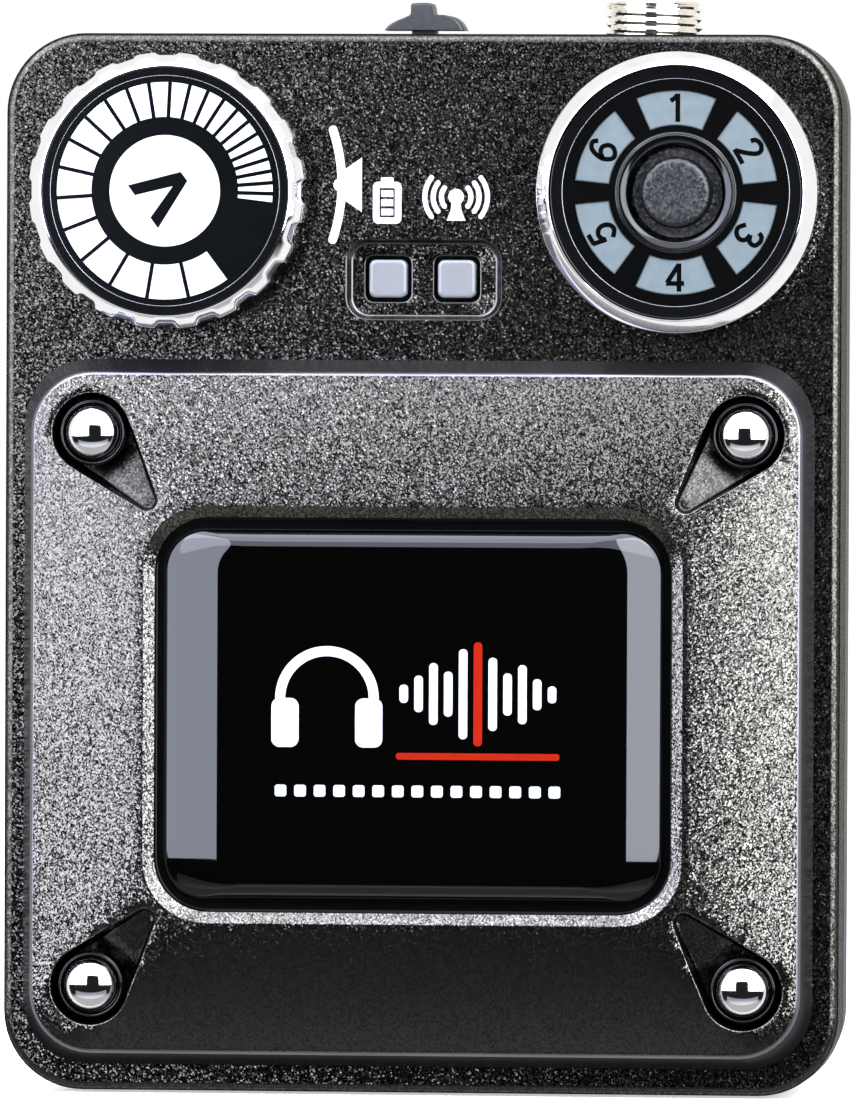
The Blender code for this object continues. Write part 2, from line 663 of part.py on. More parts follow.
def power_switch():
    top = HEIGHT - WALL
    box(
        "power_switch", (SLIDER_X - 4.0 * MM, 68.5 * MM, PORT_Z - 2.3 * MM),
        (SLIDER_X + 6.0 * MM, top - MM, BOARD_BACK - GAP), "black_plastic",
    )
    ramp = [(-2.8, 0.0), (-2.3, 0.45), (-1.5, 0.84), (-0.9, 1.06), (-0.9, 1.85), (-0.8, 1.96),
            (0.6, 1.98), (0.7, 1.85), (0.75, 1.12), (1.9, 1.03), (2.6, 0.67), (3.0, 0.0)]
    cap_base = HEIGHT + GAP + 0.15 * MM
    outline = [(x * MM, y * MM) for x, y in ramp[::-1]]
    slider = extruded("power_slider", outline, 3.4 * MM, "black_plastic", at=(SLIDER_X, cap_base, PORT_Z))
    stem = box(
        "slider_stem", (SLIDER_X - 0.9 * MM, top - 0.5 * MM, PORT_Z - 0.8 * MM),
        (SLIDER_X + 0.9 * MM, cap_base + 0.3 * MM, PORT_Z + 0.8 * MM), None,
    )
    foot = box(
        "slider_foot", (SLIDER_X - 2.6 * MM, top - 0.7 * MM, PORT_Z - 1.7 * MM),
        (SLIDER_X + 2.6 * MM, top - GAP, PORT_Z + 1.7 * MM), None,
    )
    join(slider, stem, foot)


def charging_port():
    half_y, half_z, skin = 4.45 * MM, 1.6 * MM, 0.35 * MM
    mouth, end = -29.3 * MM, -22.4 * MM
    port = box(
        "usb_port", (mouth, USB_Y - half_y, USB_Z - half_z), (end, USB_Y + half_y, USB_Z + half_z),
        "steel", 1.4 * MM, 5, axis=0,
    )
    hollow = box(
        "usb_hollow", (mouth - MM, USB_Y - half_y + skin, USB_Z - half_z + skin),
        (end - skin, USB_Y + half_y - skin, USB_Z + half_z - skin), None, 1.1 * MM, 5, axis=0,
    )
    cut(port, hollow)
    box(
        "usb_tongue", (mouth + 0.7 * MM, USB_Y - 3.1 * MM, USB_Z - 0.35 * MM),
        (end - skin - GAP, USB_Y + 3.1 * MM, USB_Z + 0.35 * MM), "black_plastic",
    )


def main_board():
    low, high = BOARD_YS
    right = [
        (BOARD_HALF - BOARD_CHAMFER, low), (BOARD_HALF, low + BOARD_CHAMFER),
        (BOARD_HALF, high - BOARD_CHAMFER), (BOARD_HALF - BOARD_CHAMFER, high),
    ]
    outline = right + [(-x, y) for x, y in right[::-1]]
    board = extruded(
        "main_board", outline, BOARD_FRONT - BOARD_BACK, "board_green",
        at=(0.0, 0.0, (BOARD_FRONT + BOARD_BACK) / 2),
    )
    cut(board, cylinder("board_hole", 3.4 * MM, BOARD_BACK - MM, BOARD_FRONT + MM, (VOLUME_X, CONTROL_Y), None))
    for i, at in enumerate(mirrored(BOARD_SCREW)):
        cut(board, cylinder(f"board_screw_hole_{i}", MM, BOARD_BACK - MM, BOARD_FRONT + MM, at, None, 12))


def electronics():
    base = BOARD_FRONT + GAP
    shield = box("radio_shield", (-9 * MM, 28 * MM, base), (9 * MM, 44 * MM, 6.0 * MM), "foil_silver")
    cut(shield, box("shield_hollow", (-8.6 * MM, 28.4 * MM, base - MM), (8.6 * MM, 43.6 * MM, 5.6 * MM), None))
    chips = (
        ("radio_chip", (0.0, 36.0), (3.0, 3.0), 0.8, "chip_black"),
        ("audio_chip", (12.5, 20.0), (2.5, 2.5), 0.9, "chip_black"),
        ("antenna", (0.0, 5.5), (4.5, 1.1), 1.0, "white_print"),
    )
    for name, middle, half, height, paint in chips:
        low = ((middle[0] - half[0]) * MM, (middle[1] - half[1]) * MM, base)
        high = ((middle[0] + half[0]) * MM, (middle[1] + half[1]) * MM, base + height * MM)
        box(name, low, high, paint)


def battery():
    box("battery_cell", (-18 * MM, 7 * MM, -3.4 * MM), (18 * MM, 52 * MM, 2.0 * MM), "foil_silver", 1.0 * MM, 3)
    box("battery_pad", (-15 * MM, 12 * MM, -4.9 * MM), (15 * MM, 48 * MM, -3.7 * MM), "foam_grey")
    plug_low, plug_high = (-10.0 * MM, 56.0 * MM, -0.6 * MM), (-4.0 * MM, 59.0 * MM, BOARD_BACK - GAP)
    box("battery_plug", plug_low, plug_high, "led_white")
    for x, paint in ((-8.2 * MM, "wire_red"), (-5.8 * MM, "wire_black")):
        route = [(x, 52.3 * MM, -0.7 * MM), (x, 53.0 * MM, -0.9 * MM), (x, 53.9 * MM, -0.6 * MM),
                 (x, 54.7 * MM, 0.2 * MM), (x, 55.2 * MM, 0.6 * MM), (x, 55.7 * MM, 0.7 * MM)]
        wire(f"battery_lead_{paint[5:]}", route, 0.45 * MM, paint)


def across(name, y, z, half, radius, paint, sides=24):
    """A cylinder along X, centred on the middle plane."""
    return cylinder_along(name, radius, (-half, y, z), (half, y, z), paint, sides)


def clip_bracket():
    top = BACK - GAP
    thickness = MM
    plate = box("clip_bracket", (-8.7 * MM, 41.5 * MM, top - thickness), (8.7 * MM, 54.0 * MM, top), "spring_steel")
    y, z = PIVOT
    for side in (-1, 1):
        x0, x1 = sorted((side * 7.5 * MM, side * 8.7 * MM))
        join(plate, box(f"ear_{side}", (x0, y - 2.6 * MM, z - 2.2 * MM), (x1, y + 2.6 * MM, top - 0.4 * MM), None))
    cut(plate, across("ear_hole", y, z, 10 * MM, PIN_RADIUS + GAP, None, 16))
    for i, at in enumerate(mirrored(CLIP_SCREW)):
        cut(plate, cylinder(f"bracket_hole_{i}", 1.15 * MM, top - 2 * MM, top + MM, at, None, 12))
    for i, at in enumerate(mirrored(CLIP_SCREW), 1):
        screw(f"clip_screw_{i}", at, 1.7 * MM, (-10.6 * MM, -11.6 * MM), 0.8 * MM, -6.1 * MM, "steel", -1)
    across("clip_pin", y, z, 9.3 * MM, PIN_RADIUS, "steel", 16)


def clip_lever():
    y, z = PIVOT
    middle_z = -14.5 * MM - CLIP_THICKNESS / 2
    path = [(59.5, -0.7), (57.5, -0.1), (55.0, 0.0), (22.0, 0.0), (20.0, 0.3), (18.3, 1.1), (16.5, 2.3),
            (15.0, 3.3), (14.0, 3.7), (13.0, 3.7), (12.0, 3.2), (10.8, 2.3)]
    line = [(along_y * MM - y, middle_z + rise * MM - z) for along_y, rise in path]
    # The outline lies in the YZ plane: X of the outline becomes Y, and its Y becomes Z.
    turn = Matrix(((0, 0, 1), (1, 0, 0), (0, 1, 0)))
    lever = extruded(
        "clip_lever", strip(line, CLIP_THICKNESS), 2 * CLIP_HALF, "spring_steel", turn, (0.0, y, z)
    )
    for side in (-1, 1):
        x0, x1 = sorted((side * 5.4 * MM, side * CLIP_HALF))
        join(
            lever,
            cylinder_along(f"lug_{side}", 1.8 * MM, (x0, y, z), (x1, y, z), None, 20),
            box(f"web_{side}", (x0, y - 1.6 * MM, middle_z), (x1, y + 1.6 * MM, z), None),
        )
    cut(lever, across("lug_hole", y, z, 10 * MM, PIN_RADIUS + GAP, None, 16))


def clip_spring():
    """A torsion spring about the pin, both legs up: one on the bracket, one under the thumb pad."""
    y, z = PIVOT
    coil, half_length, turns, per_turn = 1.6 * MM, 3.0 * MM, 4.5, 10
    count = int(turns * per_turn)
    points = [(-half_length, y + 3.4 * MM, z + coil)]
    for i in range(count + 1):
        angle = math.pi / 2 + 2 * math.pi * turns * i / count
        x = -half_length + 2 * half_length * i / count
        points.append((x, y + coil * math.cos(angle), z + coil * math.sin(angle)))
    points.append((half_length, y + 5.5 * MM, z - coil))
    wire("clip_spring", points, 0.25 * MM, "steel")


def main():
    clear_scene()
    for name in ("receiver", "cutters"):
        collection = bpy.data.collections.new(name)
        bpy.context.scene.collection.children.link(collection)
    stand = bpy.data.objects.new("stand", None)
    stand.rotation_euler = (math.pi / 2, 0.0, 0.0)
    bpy.data.collections["receiver"].objects.link(stand)
    front_shell()
    rear_shell()
    front_plate()
    badge()
    plate_fasteners()
    case_fasteners()
    volume_knob()
    potentiometer()
    channel_dial()
    channel_button()
    status_lights()
    headphone_jack()
    power_switch()
    charging_port()
    main_board()
    electronics()
    battery()
    clip_bracket()
    clip_lever()
    clip_spring()


main()
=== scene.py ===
"""Looks of the in-ear monitor receiver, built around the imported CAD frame.

Shapes are drawn in millimetres in panel coordinates: u to the right, v up and w out of
the front. PANEL turns them into the frame's metres, where the front faces -Y.
"""

import math

import bmesh
import bpy
from mathutils import Matrix, Quaternion, Vector, geometry


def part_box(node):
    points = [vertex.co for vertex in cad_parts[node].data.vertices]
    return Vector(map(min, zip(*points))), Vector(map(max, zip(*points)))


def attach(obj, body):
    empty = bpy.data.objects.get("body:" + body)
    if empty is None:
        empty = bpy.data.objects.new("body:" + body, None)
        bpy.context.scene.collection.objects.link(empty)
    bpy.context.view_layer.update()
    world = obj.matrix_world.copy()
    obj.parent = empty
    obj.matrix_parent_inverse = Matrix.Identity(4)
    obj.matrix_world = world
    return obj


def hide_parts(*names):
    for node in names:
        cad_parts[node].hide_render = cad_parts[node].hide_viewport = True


MM = 0.001
PANEL = Matrix.Rotation(math.pi / 2, 4, "X") @ Matrix.Scale(MM, 4)

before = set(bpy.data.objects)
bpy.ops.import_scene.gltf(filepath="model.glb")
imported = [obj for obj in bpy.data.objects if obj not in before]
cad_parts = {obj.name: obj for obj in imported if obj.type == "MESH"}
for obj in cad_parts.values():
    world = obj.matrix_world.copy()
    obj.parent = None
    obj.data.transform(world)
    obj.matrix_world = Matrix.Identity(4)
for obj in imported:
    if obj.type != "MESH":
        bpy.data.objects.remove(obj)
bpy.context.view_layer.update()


# ---------------------------------------------------------------- places


def span(node):
    """Lowest and highest panel corner of a CAD node."""
    low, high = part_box(node)
    return Vector((low.x, low.z, -high.y)) / MM, Vector((high.x, high.z, -low.y)) / MM


def middle(node):
    low, high = span(node)
    return (low + high) / 2


def centre_of(node):
    at = middle(node)
    return at.x, at.y


def half_of(node):
    low, high = span(node)
    return (high.x - low.x) / 2, (high.y - low.y) / 2


def front_of(node):
    return span(node)[1].z


# ---------------------------------------------------------------- outlines and rings


def rounded_ring(half, corner, centre, w, arc=12, side=1):
    """A rounded rectangle, anticlockwise. Rings with the same arc and side match point for point."""
    arcs = []
    for k, (su, sv) in enumerate(((1, 1), (-1, 1), (-1, -1), (1, -1))):
        cu = centre[0] + su * (half[0] - corner)
        cv = centre[1] + sv * (half[1] - corner)
        angles = [math.pi / 2 * (k + i / arc) for i in range(arc + 1)]
        arcs.append([Vector((cu + corner * math.cos(a), cv + corner * math.sin(a), w)) for a in angles])
    ring = []
    for k in range(4):
        ring += arcs[k]
        ring += [arcs[k][-1].lerp(arcs[(k + 1) % 4][0], i / side) for i in range(1, side)]
    return ring


def polar(centre, radius, a, w=0.0):
    return Vector((centre[0] + radius * math.cos(a), centre[1] + radius * math.sin(a), w))


def turns(sides):
    return [2 * math.pi * i / sides for i in range(sides)]


def circle_ring(radius, centre, w, sides=96):
    return [polar(centre, radius, a, w) for a in turns(sides)]


def upright_ring(radius, centre_uw, v, sides=48):
    """A circle that lies flat when the object stands."""
    return [Vector((p.x, v, p.y)) for p in circle_ring(radius, centre_uw, 0.0, sides)]


def sector(inner, outer, half_angle, direction, centre, w, steps=10, gap=0.0):
    """A slice of a flat ring whose straight sides keep the gap to its neighbours."""
    points = []
    for radius, order in ((outer, 1), (inner, -1)):
        spread = half_angle - gap / radius
        for i in range(steps + 1):
            a = direction + order * spread * (2 * i / steps - 1)
            points.append(polar(centre, radius, a, w))
    return points


def ribbon(points, width, w, round_ends=True):
    """The outline of a stroke of even width along the points."""
    left, right = [], []
    for i, point in enumerate(points):
        before = Vector(points[max(i - 1, 0)])
        after = Vector(points[min(i + 1, len(points) - 1)])
        direction = (after - before).normalized()
        normal = Vector((-direction.y, direction.x)) * width / 2
        left.append(Vector(point) + normal)
        right.append(Vector(point) - normal)
    caps = []
    for tip, start in ((points[-1], left[-1]), (points[0], right[0])):
        tip = Vector(tip)
        arm = start - tip
        bends = [math.pi * i / 8 for i in range(1, 8)] if round_ends else []
        caps.append([tip + Matrix.Rotation(-a, 2) @ arm for a in bends])
    outline = left + caps[0] + right[::-1] + caps[1]
    return [Vector((p.x, p.y, w)) for p in outline][::-1]


def arc_points(radius, centre, start, end, steps=16):
    bends = [math.radians(start + (end - start) * i / steps) for i in range(steps + 1)]
    return [polar(centre, radius, a).to_2d() for a in bends]


def flat_shape(centre, points):
    return [Vector((centre[0] + u, centre[1] + v, 0.0)) for u, v in points]


def lifted(ring, w):
    return [Vector((p.x, p.y, w)) for p in ring]


# ---------------------------------------------------------------- surfaces


def loft(bm, rings, tube=False, paint=0):
    """Quads between matching rings. Returns the loops of vertices."""
    loops = [[bm.verts.new(p) for p in ring] for ring in rings]
    pairs = list(zip(loops, loops[1:]))
    if tube:
        pairs.append((loops[-1], loops[0]))
    for low, high in pairs:
        for i in range(len(low)):
            j = (i + 1) % len(low)
            face = bm.faces.new((low[i], low[j], high[j], high[i]))
            face.material_index = paint
    return loops


def cap(bm, ring, paint=0):
    face = bm.faces.new([bm.verts.new(p) for p in ring])
    face.material_index = paint


def solid(bm, rings, paint=0):
    """A loft that is capped at both ends."""
    loft(bm, rings, paint=paint)
    cap(bm, rings[0])
    cap(bm, rings[-1])


def slab(bm, outline, low, high, paint=0):
    """A flat plate of the outline's shape between two levels."""
    rings = [lifted(outline, low), lifted(outline, high)]
    loft(bm, rings, paint=paint)
    cap(bm, rings[0][::-1], paint)
    cap(bm, rings[1], paint)


def inside(polygon, x, y):
    us, vs = [p.x for p in polygon], [p.y for p in polygon]
    if not (min(us) <= x <= max(us) and min(vs) <= y <= max(vs)):
        return False
    hit = False
    for a, b in zip(polygon, polygon[1:] + polygon[:1]):
        if (a.y > y) != (b.y > y) and x < (b.x - a.x) * (y - a.y) / (b.y - a.y) + a.x:
            hit = not hit
    return hit


def fill(bm, outer, holes=(), height=None, extra=(), paint=0):
    """Triangles between an outline and the holes in it, at the outline's level or at height(u, v)."""
    points, edges = [], []
    for ring in (outer, *holes):
        start = len(points)
        points += [Vector((p.x, p.y)) for p in ring]
        count = len(ring)
        edges += [(start + i, start + (i + 1) % count) for i in range(count)]
    points += [Vector(p) for p in extra]
    flat, _, faces, *_ = geometry.delaunay_2d_cdt(points, edges, [], 1, 1e-6)
    known = {(round(p.x, 4), round(p.y, 4)): p.z for ring in (outer, *holes) for p in ring}
    made = []
    for p in flat:
        w = known.get((round(p.x, 4), round(p.y, 4)))
        if w is None:
            w = height(p.x, p.y) if height else outer[0].z
        made.append(bm.verts.new((p.x, p.y, w)))
    for face in faces:
        mid = sum((flat[i] for i in face), Vector((0, 0))) / len(face)
        if not any(inside(hole, *mid) for hole in holes):
            bm.faces.new([made[i] for i in face]).material_index = paint
    for vert in [v for v in made if not v.link_faces]:
        bm.verts.remove(vert)


def lathe(bm, profile, centre, sides=96, tube=False, paint=0):
    """A profile of (radius, w) turned about the w axis. A radius of 0 closes the end."""
    rings = [circle_ring(r, centre, w, sides) for r, w in profile if r > 0]
    loops = loft(bm, rings, tube, paint)
    for (radius, w), loop in ((profile[0], loops[0]), (profile[-1], loops[-1])):
        if radius > 0:
            continue
        tip = bm.verts.new((centre[0], centre[1], w))
        for i in range(sides):
            face = bm.faces.new((loop[i], loop[(i + 1) % sides], tip))
            face.material_index = paint


def round_wire(bm, points, radius, sides=10):
    rings = []
    across = None
    for i, point in enumerate(points):
        direction = (points[min(i + 1, len(points) - 1)] - points[max(i - 1, 0)]).normalized()
        across = direction.orthogonal() if across is None else across - direction * across.dot(direction)
        across.normalize()
        up = direction.cross(across)
        rings.append([point + radius * (math.cos(a) * across + math.sin(a) * up) for a in turns(sides)])
    solid(bm, rings)


def quarter(steps):
    """Sines and cosines of even steps from 0 to a right angle."""
    angles = [math.pi / 2 * i / steps for i in range(steps + 1)]
    return [(math.sin(a), math.cos(a)) for a in angles]


# ---------------------------------------------------------------- pieces


def placed(name, data):
    obj = bpy.data.objects.new(name, data)
    bpy.context.scene.collection.objects.link(obj)
    return obj


def mesh_of(name, bm):
    mesh = bpy.data.meshes.new(name)
    bm.to_mesh(mesh)
    bm.free()
    return mesh


def smoothed(obj, sharp):
    """Smooth shading that keeps the edges over the sharp angle."""
    obj.data.shade_smooth()
    obj.data.set_sharp_from_angle(angle=math.radians(sharp))
    obj.modifiers.new("weighted", "WEIGHTED_NORMAL").keep_sharp = True


def piece(name, bm, materials, body, nodes=(), transform=PANEL, sharp=32):
    """Turns the drawing into a piece that rides on a body and may stand for CAD nodes."""
    bmesh.ops.remove_doubles(bm, verts=bm.verts, dist=5e-4 if transform else 5e-7)
    bmesh.ops.recalc_face_normals(bm, faces=bm.faces)
    if transform:
        bm.transform(transform)
    mesh = mesh_of(name, bm)
    for made in materials:
        mesh.materials.append(made)
    obj = placed(name, mesh)
    smoothed(obj, sharp)
    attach(obj, body)
    if nodes:
        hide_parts(*nodes)
    return obj


def closed_piece(name, rings, material, body, nodes, sharp):
    """A piece that is one loft, capped at both ends."""
    bm = bmesh.new()
    solid(bm, rings)
    return piece(name, bm, [material], body, nodes, sharp=sharp)


def turned(name, profile, centre, sides, material, body, nodes, slot, sharp=32, tube=True):
    """A piece whose profile is turned about the w axis."""
    bm = bmesh.new()
    lathe(bm, profile, centre, sides, tube)
    return piece(name, bm, [material], body, nodes, sharp=sharp)


def softened(node, name, material, body, radius, segments=2, merge=2.0):
    """A CAD node with its coplanar facets merged and its edges rounded by radius."""
    bm = bmesh.new()
    bm.from_mesh(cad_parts[node].data)
    bmesh.ops.remove_doubles(bm, verts=bm.verts, dist=1e-6)
    bmesh.ops.dissolve_limit(bm, angle_limit=math.radians(merge), verts=bm.verts, edges=bm.edges)
    edges = [e for e in bm.edges if e.is_manifold and abs(e.calc_face_angle(0)) > math.radians(30)]
    size = {"offset": radius * MM, "segments": segments, "profile": 0.5}
    bmesh.ops.bevel(bm, geom=edges, affect="EDGES", clamp_overlap=True, **size)
    return piece(name, bm, [material], body, [node], transform=None, sharp=40)


def carved(obj, cutters):
    """Cuts the panel-space bmeshes from a piece and applies the result."""
    helpers = []
    for i, bm in enumerate(cutters):
        bmesh.ops.recalc_face_normals(bm, faces=bm.faces)
        bm.transform(PANEL)
        helper = placed(f"cutter_{i}", mesh_of(f"cutter_{i}", bm))
        helpers.append(helper)
        step = obj.modifiers.new(f"cut_{i}", "BOOLEAN")
        step.operation = "DIFFERENCE"
        step.solver = "EXACT"
        step.object = helper
    obj.modifiers.remove(obj.modifiers["weighted"])
    old = obj.data
    obj.data = bpy.data.meshes.new_from_object(obj.evaluated_get(bpy.context.evaluated_depsgraph_get()))
    obj.modifiers.clear()
    bpy.data.meshes.remove(old)
    for helper in helpers:
        mesh = helper.data
        bpy.data.objects.remove(helper)
        bpy.data.meshes.remove(mesh)
    smoothed(obj, 32)


# ---------------------------------------------------------------- materials


def shader(name, colour, roughness, metallic=0.0, **sockets):
    made = bpy.data.materials.new(name)
    made.use_nodes = True
    tree = made.node_tree
    surface = tree.nodes["Principled BSDF"]
    surface.inputs["Base Color"].default_value = (*colour, 1.0)
    surface.inputs["Roughness"].default_value = roughness
    surface.inputs["Metallic"].default_value = metallic
    for key, value in sockets.items():
        surface.inputs[key.replace("_", " ")].default_value = value
    return made, tree, surface


def add_node(tree, kind, values=None, **settings):
    """A value that is another node's socket is linked. Any other value is set."""
    made = tree.nodes.new(kind)
    for key, value in settings.items():
        setattr(made, key, value)
    for key, value in (values or {}).items():
        if isinstance(value, bpy.types.NodeSocket):
            tree.links.new(value, made.inputs[key])
        else:
            made.inputs[key].default_value = value
    return made


def object_place(tree):
    return add_node(tree, "ShaderNodeTexCoord").outputs["Object"]


def noise(tree, scale, detail=2.0, roughness=0.5, stretch=None):
    place = object_place(tree)
    if stretch:
        place = add_node(tree, "ShaderNodeMapping", {"Vector": place, "Scale": stretch}).outputs["Vector"]
    values = {"Vector": place, "Scale": scale, "Detail": detail, "Roughness": roughness}
    return add_node(tree, "ShaderNodeTexNoise", values).outputs["Fac"]


def ramp(tree, source, stops):
    made = add_node(tree, "ShaderNodeValToRGB", {"Fac": source})
    elements = made.color_ramp.elements
    while len(elements) < len(stops):
        elements.new(0.5)
    for element, (place, colour) in zip(elements, stops):
        element.position = place
        element.color = (*colour, 1.0)
    return made.outputs["Color"]


def grey(value):
    return (value, value, value)


def scaled(colour, share):
    return tuple(min(1.0, c * share) for c in colour)


def bump(tree, surface, height, strength, distance):
    values = {"Height": height, "Strength": strength, "Distance": distance * MM}
    made = add_node(tree, "ShaderNodeBump", values)
    tree.links.new(made.outputs["Normal"], surface.inputs["Normal"])


def flake_paint(name, colour, grain, tilt, roughness, metallic=1.0, spread=0.35):
    """Metallic textured paint: grains of the given size in millimetres, each leaning its own way."""
    made, tree, surface = shader(name, colour, roughness, metallic)
    values = {"Vector": object_place(tree), "Scale": 1000.0 / grain, "Randomness": 1.0}
    cells = add_node(tree, "ShaderNodeTexVoronoi", values).outputs["Color"]
    straight = add_node(tree, "ShaderNodeNewGeometry").outputs["Normal"]

    def vector(operation, values):
        return add_node(tree, "ShaderNodeVectorMath", values, operation=operation).outputs[0]

    lean = vector("SUBTRACT", {0: cells, 1: (0.5, 0.5, 0.5)})
    leaning = vector("ADD", {0: straight, 1: vector("SCALE", {0: lean, "Scale": tilt})})
    tree.links.new(vector("NORMALIZE", {0: leaning}), surface.inputs["Normal"])
    blue = add_node(tree, "ShaderNodeSeparateColor", {0: cells}).outputs[2]
    shares = ((0.0, 1 - spread), (0.5, 0.9), (1.0, 1 + 1.6 * spread))
    tone = ramp(tree, blue, [(place, scaled(colour, share)) for place, share in shares])
    tree.links.new(tone, surface.inputs["Base Color"])
    return made


def cloudy(name, colour, roughness, metallic=0.0, size=4.0, spread=0.12, bumps=None, **sockets):
    """An even finish whose tone and gloss wander a little, with an optional fine bump."""
    made, tree, surface = shader(name, colour, roughness, metallic, **sockets)
    tone = noise(tree, 1000.0 / size, 3.0)
    stops = [(0.3, scaled(colour, 1 - spread)), (0.7, scaled(colour, 1 + spread))]
    tree.links.new(ramp(tree, tone, stops), surface.inputs["Base Color"])
    gloss = noise(tree, 1400.0 / size, 4.0, 0.6)
    stops = [(0.3, grey(roughness * (1 - spread))), (0.7, grey(min(1.0, roughness * (1 + spread))))]
    tree.links.new(ramp(tree, gloss, stops), surface.inputs["Roughness"])
    if bumps:
        grain, strength = bumps
        bump(tree, surface, noise(tree, 1000.0 / grain, 2.0), strength, 0.02)
    return made


def brushed(name, colour, roughness, stretch, size=0.5, strength=0.25):
    """Metal with fine drawn lines along the axis whose stretch is smallest."""
    made, tree, surface = shader(name, colour, roughness, 1.0)
    lines = noise(tree, 1000.0 / size, 3.0, 0.6, stretch)
    stops = [(0.3, scaled(colour, 0.86)), (0.7, scaled(colour, 1.08))]
    tree.links.new(ramp(tree, lines, stops), surface.inputs["Base Color"])
    stops = [(0.3, grey(roughness * 0.8)), (0.7, grey(roughness * 1.3))]
    tree.links.new(ramp(tree, lines, stops), surface.inputs["Roughness"])
    bump(tree, surface, lines, strength, 0.01)
    return made


def board_paint():
    """Solder mask with faint tracks under it."""
    made, tree, surface = shader("board_green", (0.01, 0.10, 0.035), 0.35, Coat_Weight=0.4)
    values = {"Vector": object_place(tree), "Rotation": (math.pi / 2, 0.0, 0.0)}
    turned_place = add_node(tree, "ShaderNodeMapping", values).outputs["Vector"]
    values = {
        "Vector": turned_place, "Scale": 160.0, "Mortar Size": 0.02, "Brick Width": 0.9,
        "Color1": (0.010, 0.105, 0.040, 1.0), "Color2": (0.008, 0.090, 0.032, 1.0),
        "Mortar": (0.030, 0.190, 0.080, 1.0),
    }
    tracks = add_node(tree, "ShaderNodeTexBrick", values)
    tree.links.new(tracks.outputs["Color"], surface.inputs["Base Color"])
    return made


case_paint = flake_paint("case_flake_paint", (0.050, 0.046, 0.039), 0.11, 0.215, 0.175, 1.0, 0.8)
plate_paint = flake_paint("plate_flake_paint", (0.082, 0.077, 0.067), 0.105, 0.19, 0.185, 1.0, 0.7)
# The side paint is a copy of the case paint whose glancing reflection is turned almost black by its specular
# tint: painted shade for the dark outline at the edges.
side_painted_shade = flake_paint("case_side_painted_shade", (0.060, 0.056, 0.048), 0.12, 0.10, 0.25, 1.0, 0.4)
side_painted_shade.node_tree.nodes["Principled BSDF"].inputs["Specular Tint"].default_value = (0.1, 0.1, 0.1, 1.0)
tray_paint = cloudy("tray_paint", (0.10, 0.095, 0.09), 0.22, 1.0, 3.0, 0.10)
# The plate's wall paint is its own smooth dark paint, with its reflection turned down as painted shade for
# the dark band round the plate.
plate_edge_dark_paint_and_shade = cloudy("plate_edge_dark_paint_and_painted_shade", (0.020, 0.019, 0.021), 0.22, 0.7, 6.0, 0.08, Specular_IOR_Level=0.25)
# The rim paint is the wall paint made brighter: a painted highlight along the rounded top of the plate's
# wall.
plate_rim_painted_highlight = cloudy("plate_rim_painted_highlight_paint", (0.17, 0.16, 0.18), 0.30, 1.0, 6.0, 0.10)
# The pocket paint is the plate's flake paint made darker: painted shade in the screw pockets.
pocket_painted_shade = flake_paint("pocket_flake_painted_shade", (0.030, 0.028, 0.025), 0.12, 0.14, 0.24, 1.0, 0.5)
chrome = cloudy("bright_chrome", (0.90, 0.90, 0.91), 0.05, 1.0, 2.0, 0.05)
nickel = cloudy("bright_nickel", (0.90, 0.86, 0.80), 0.10, 1.0, 1.0, 0.08, (0.15, 0.05))
fine_line = cloudy("fine_line_chrome", (0.35, 0.35, 0.36), 0.15, 1.0, 1.0, 0.05)
turned_black = cloudy("turned_black", (0.006, 0.006, 0.0065), 0.12, 0.6, 1.0, 0.10)
gloss_black = cloudy("gloss_black", grey(0.0012), 0.10, 0.0, 8.0, 0.10)
epoxy = cloudy("domed_epoxy", (0.0004, 0.0004, 0.0004), 0.03, 0.0, 12.0, 0.10, IOR=1.5)
navy_print = cloudy("navy_print", (0.0012, 0.0015, 0.0018), 0.12, 0.0, 3.0, 0.08)
white_print = cloudy("white_print", (0.37, 0.385, 0.39), 0.45, 0.0, 0.5, 0.03, (0.12, 0.10))
badge_white = cloudy("badge_white", (0.41, 0.42, 0.43), 0.05, 0.0, 0.12, 0.07)
badge_red = cloudy("badge_red", (0.213, 0.0088, 0.0032), 0.05, 0.0, 0.5, 0.05)
pane_blue = cloudy("pane_blue", (0.096, 0.115, 0.119), 0.20, 0.0, 0.8, 0.07, (0.15, 0.12))
lens_white = cloudy("lens_white", (0.144, 0.146, 0.152), 0.15, 0.0, 2.0, 0.05)
button_grey = flake_paint("button_texture", (0.0018, 0.0017, 0.0015), 0.16, 0.3, 0.36, 0.0)
slider_grey = cloudy("slider_plastic", (0.010, 0.010, 0.010), 0.42, 0.0, 0.6, 0.12, (0.12, 0.35))
black_plastic = cloudy("black_plastic", (0.018, 0.018, 0.019), 0.48, 0.0, 1.0, 0.12, (0.15, 0.3))
clip_black = flake_paint("clip_black_coat", (0.035, 0.035, 0.037), 0.10, 0.16, 0.38, 0.3)
steel = brushed("brushed_steel", (0.62, 0.62, 0.64), 0.24, (1.0, 0.08, 1.0))
port_steel = brushed("port_steel", (0.70, 0.70, 0.71), 0.20, (0.06, 1.0, 1.0))
spring_steel = brushed("spring_wire", (0.50, 0.50, 0.52), 0.28, (0.2, 1.0, 1.0), 0.3)
contact_gold = cloudy("contact_gold", (0.83, 0.62, 0.28), 0.22, 1.0, 0.5, 0.08)
board_green = board_paint()
foil = cloudy("foil_silver", (0.62, 0.63, 0.65), 0.32, 0.95, 3.0, 0.10, (0.8, 0.5))
foam = cloudy("foam_grey", (0.10, 0.10, 0.11), 0.95, 0.0, 0.6, 0.35, (0.4, 0.9))
chip_black = cloudy("chip_black", (0.022, 0.022, 0.023), 0.55, 0.0, 0.6, 0.15, (0.1, 0.4))
ceramic = cloudy("ceramic_white", (0.80, 0.80, 0.76), 0.45, 0.0, 1.0, 0.04)
wire_red = cloudy("wire_red", (0.45, 0.015, 0.015), 0.40, 0.0, 1.0, 0.08)
wire_black = cloudy("wire_black", (0.014, 0.014, 0.014), 0.40, 0.0, 1.0, 0.10)


# ---------------------------------------------------------------- case

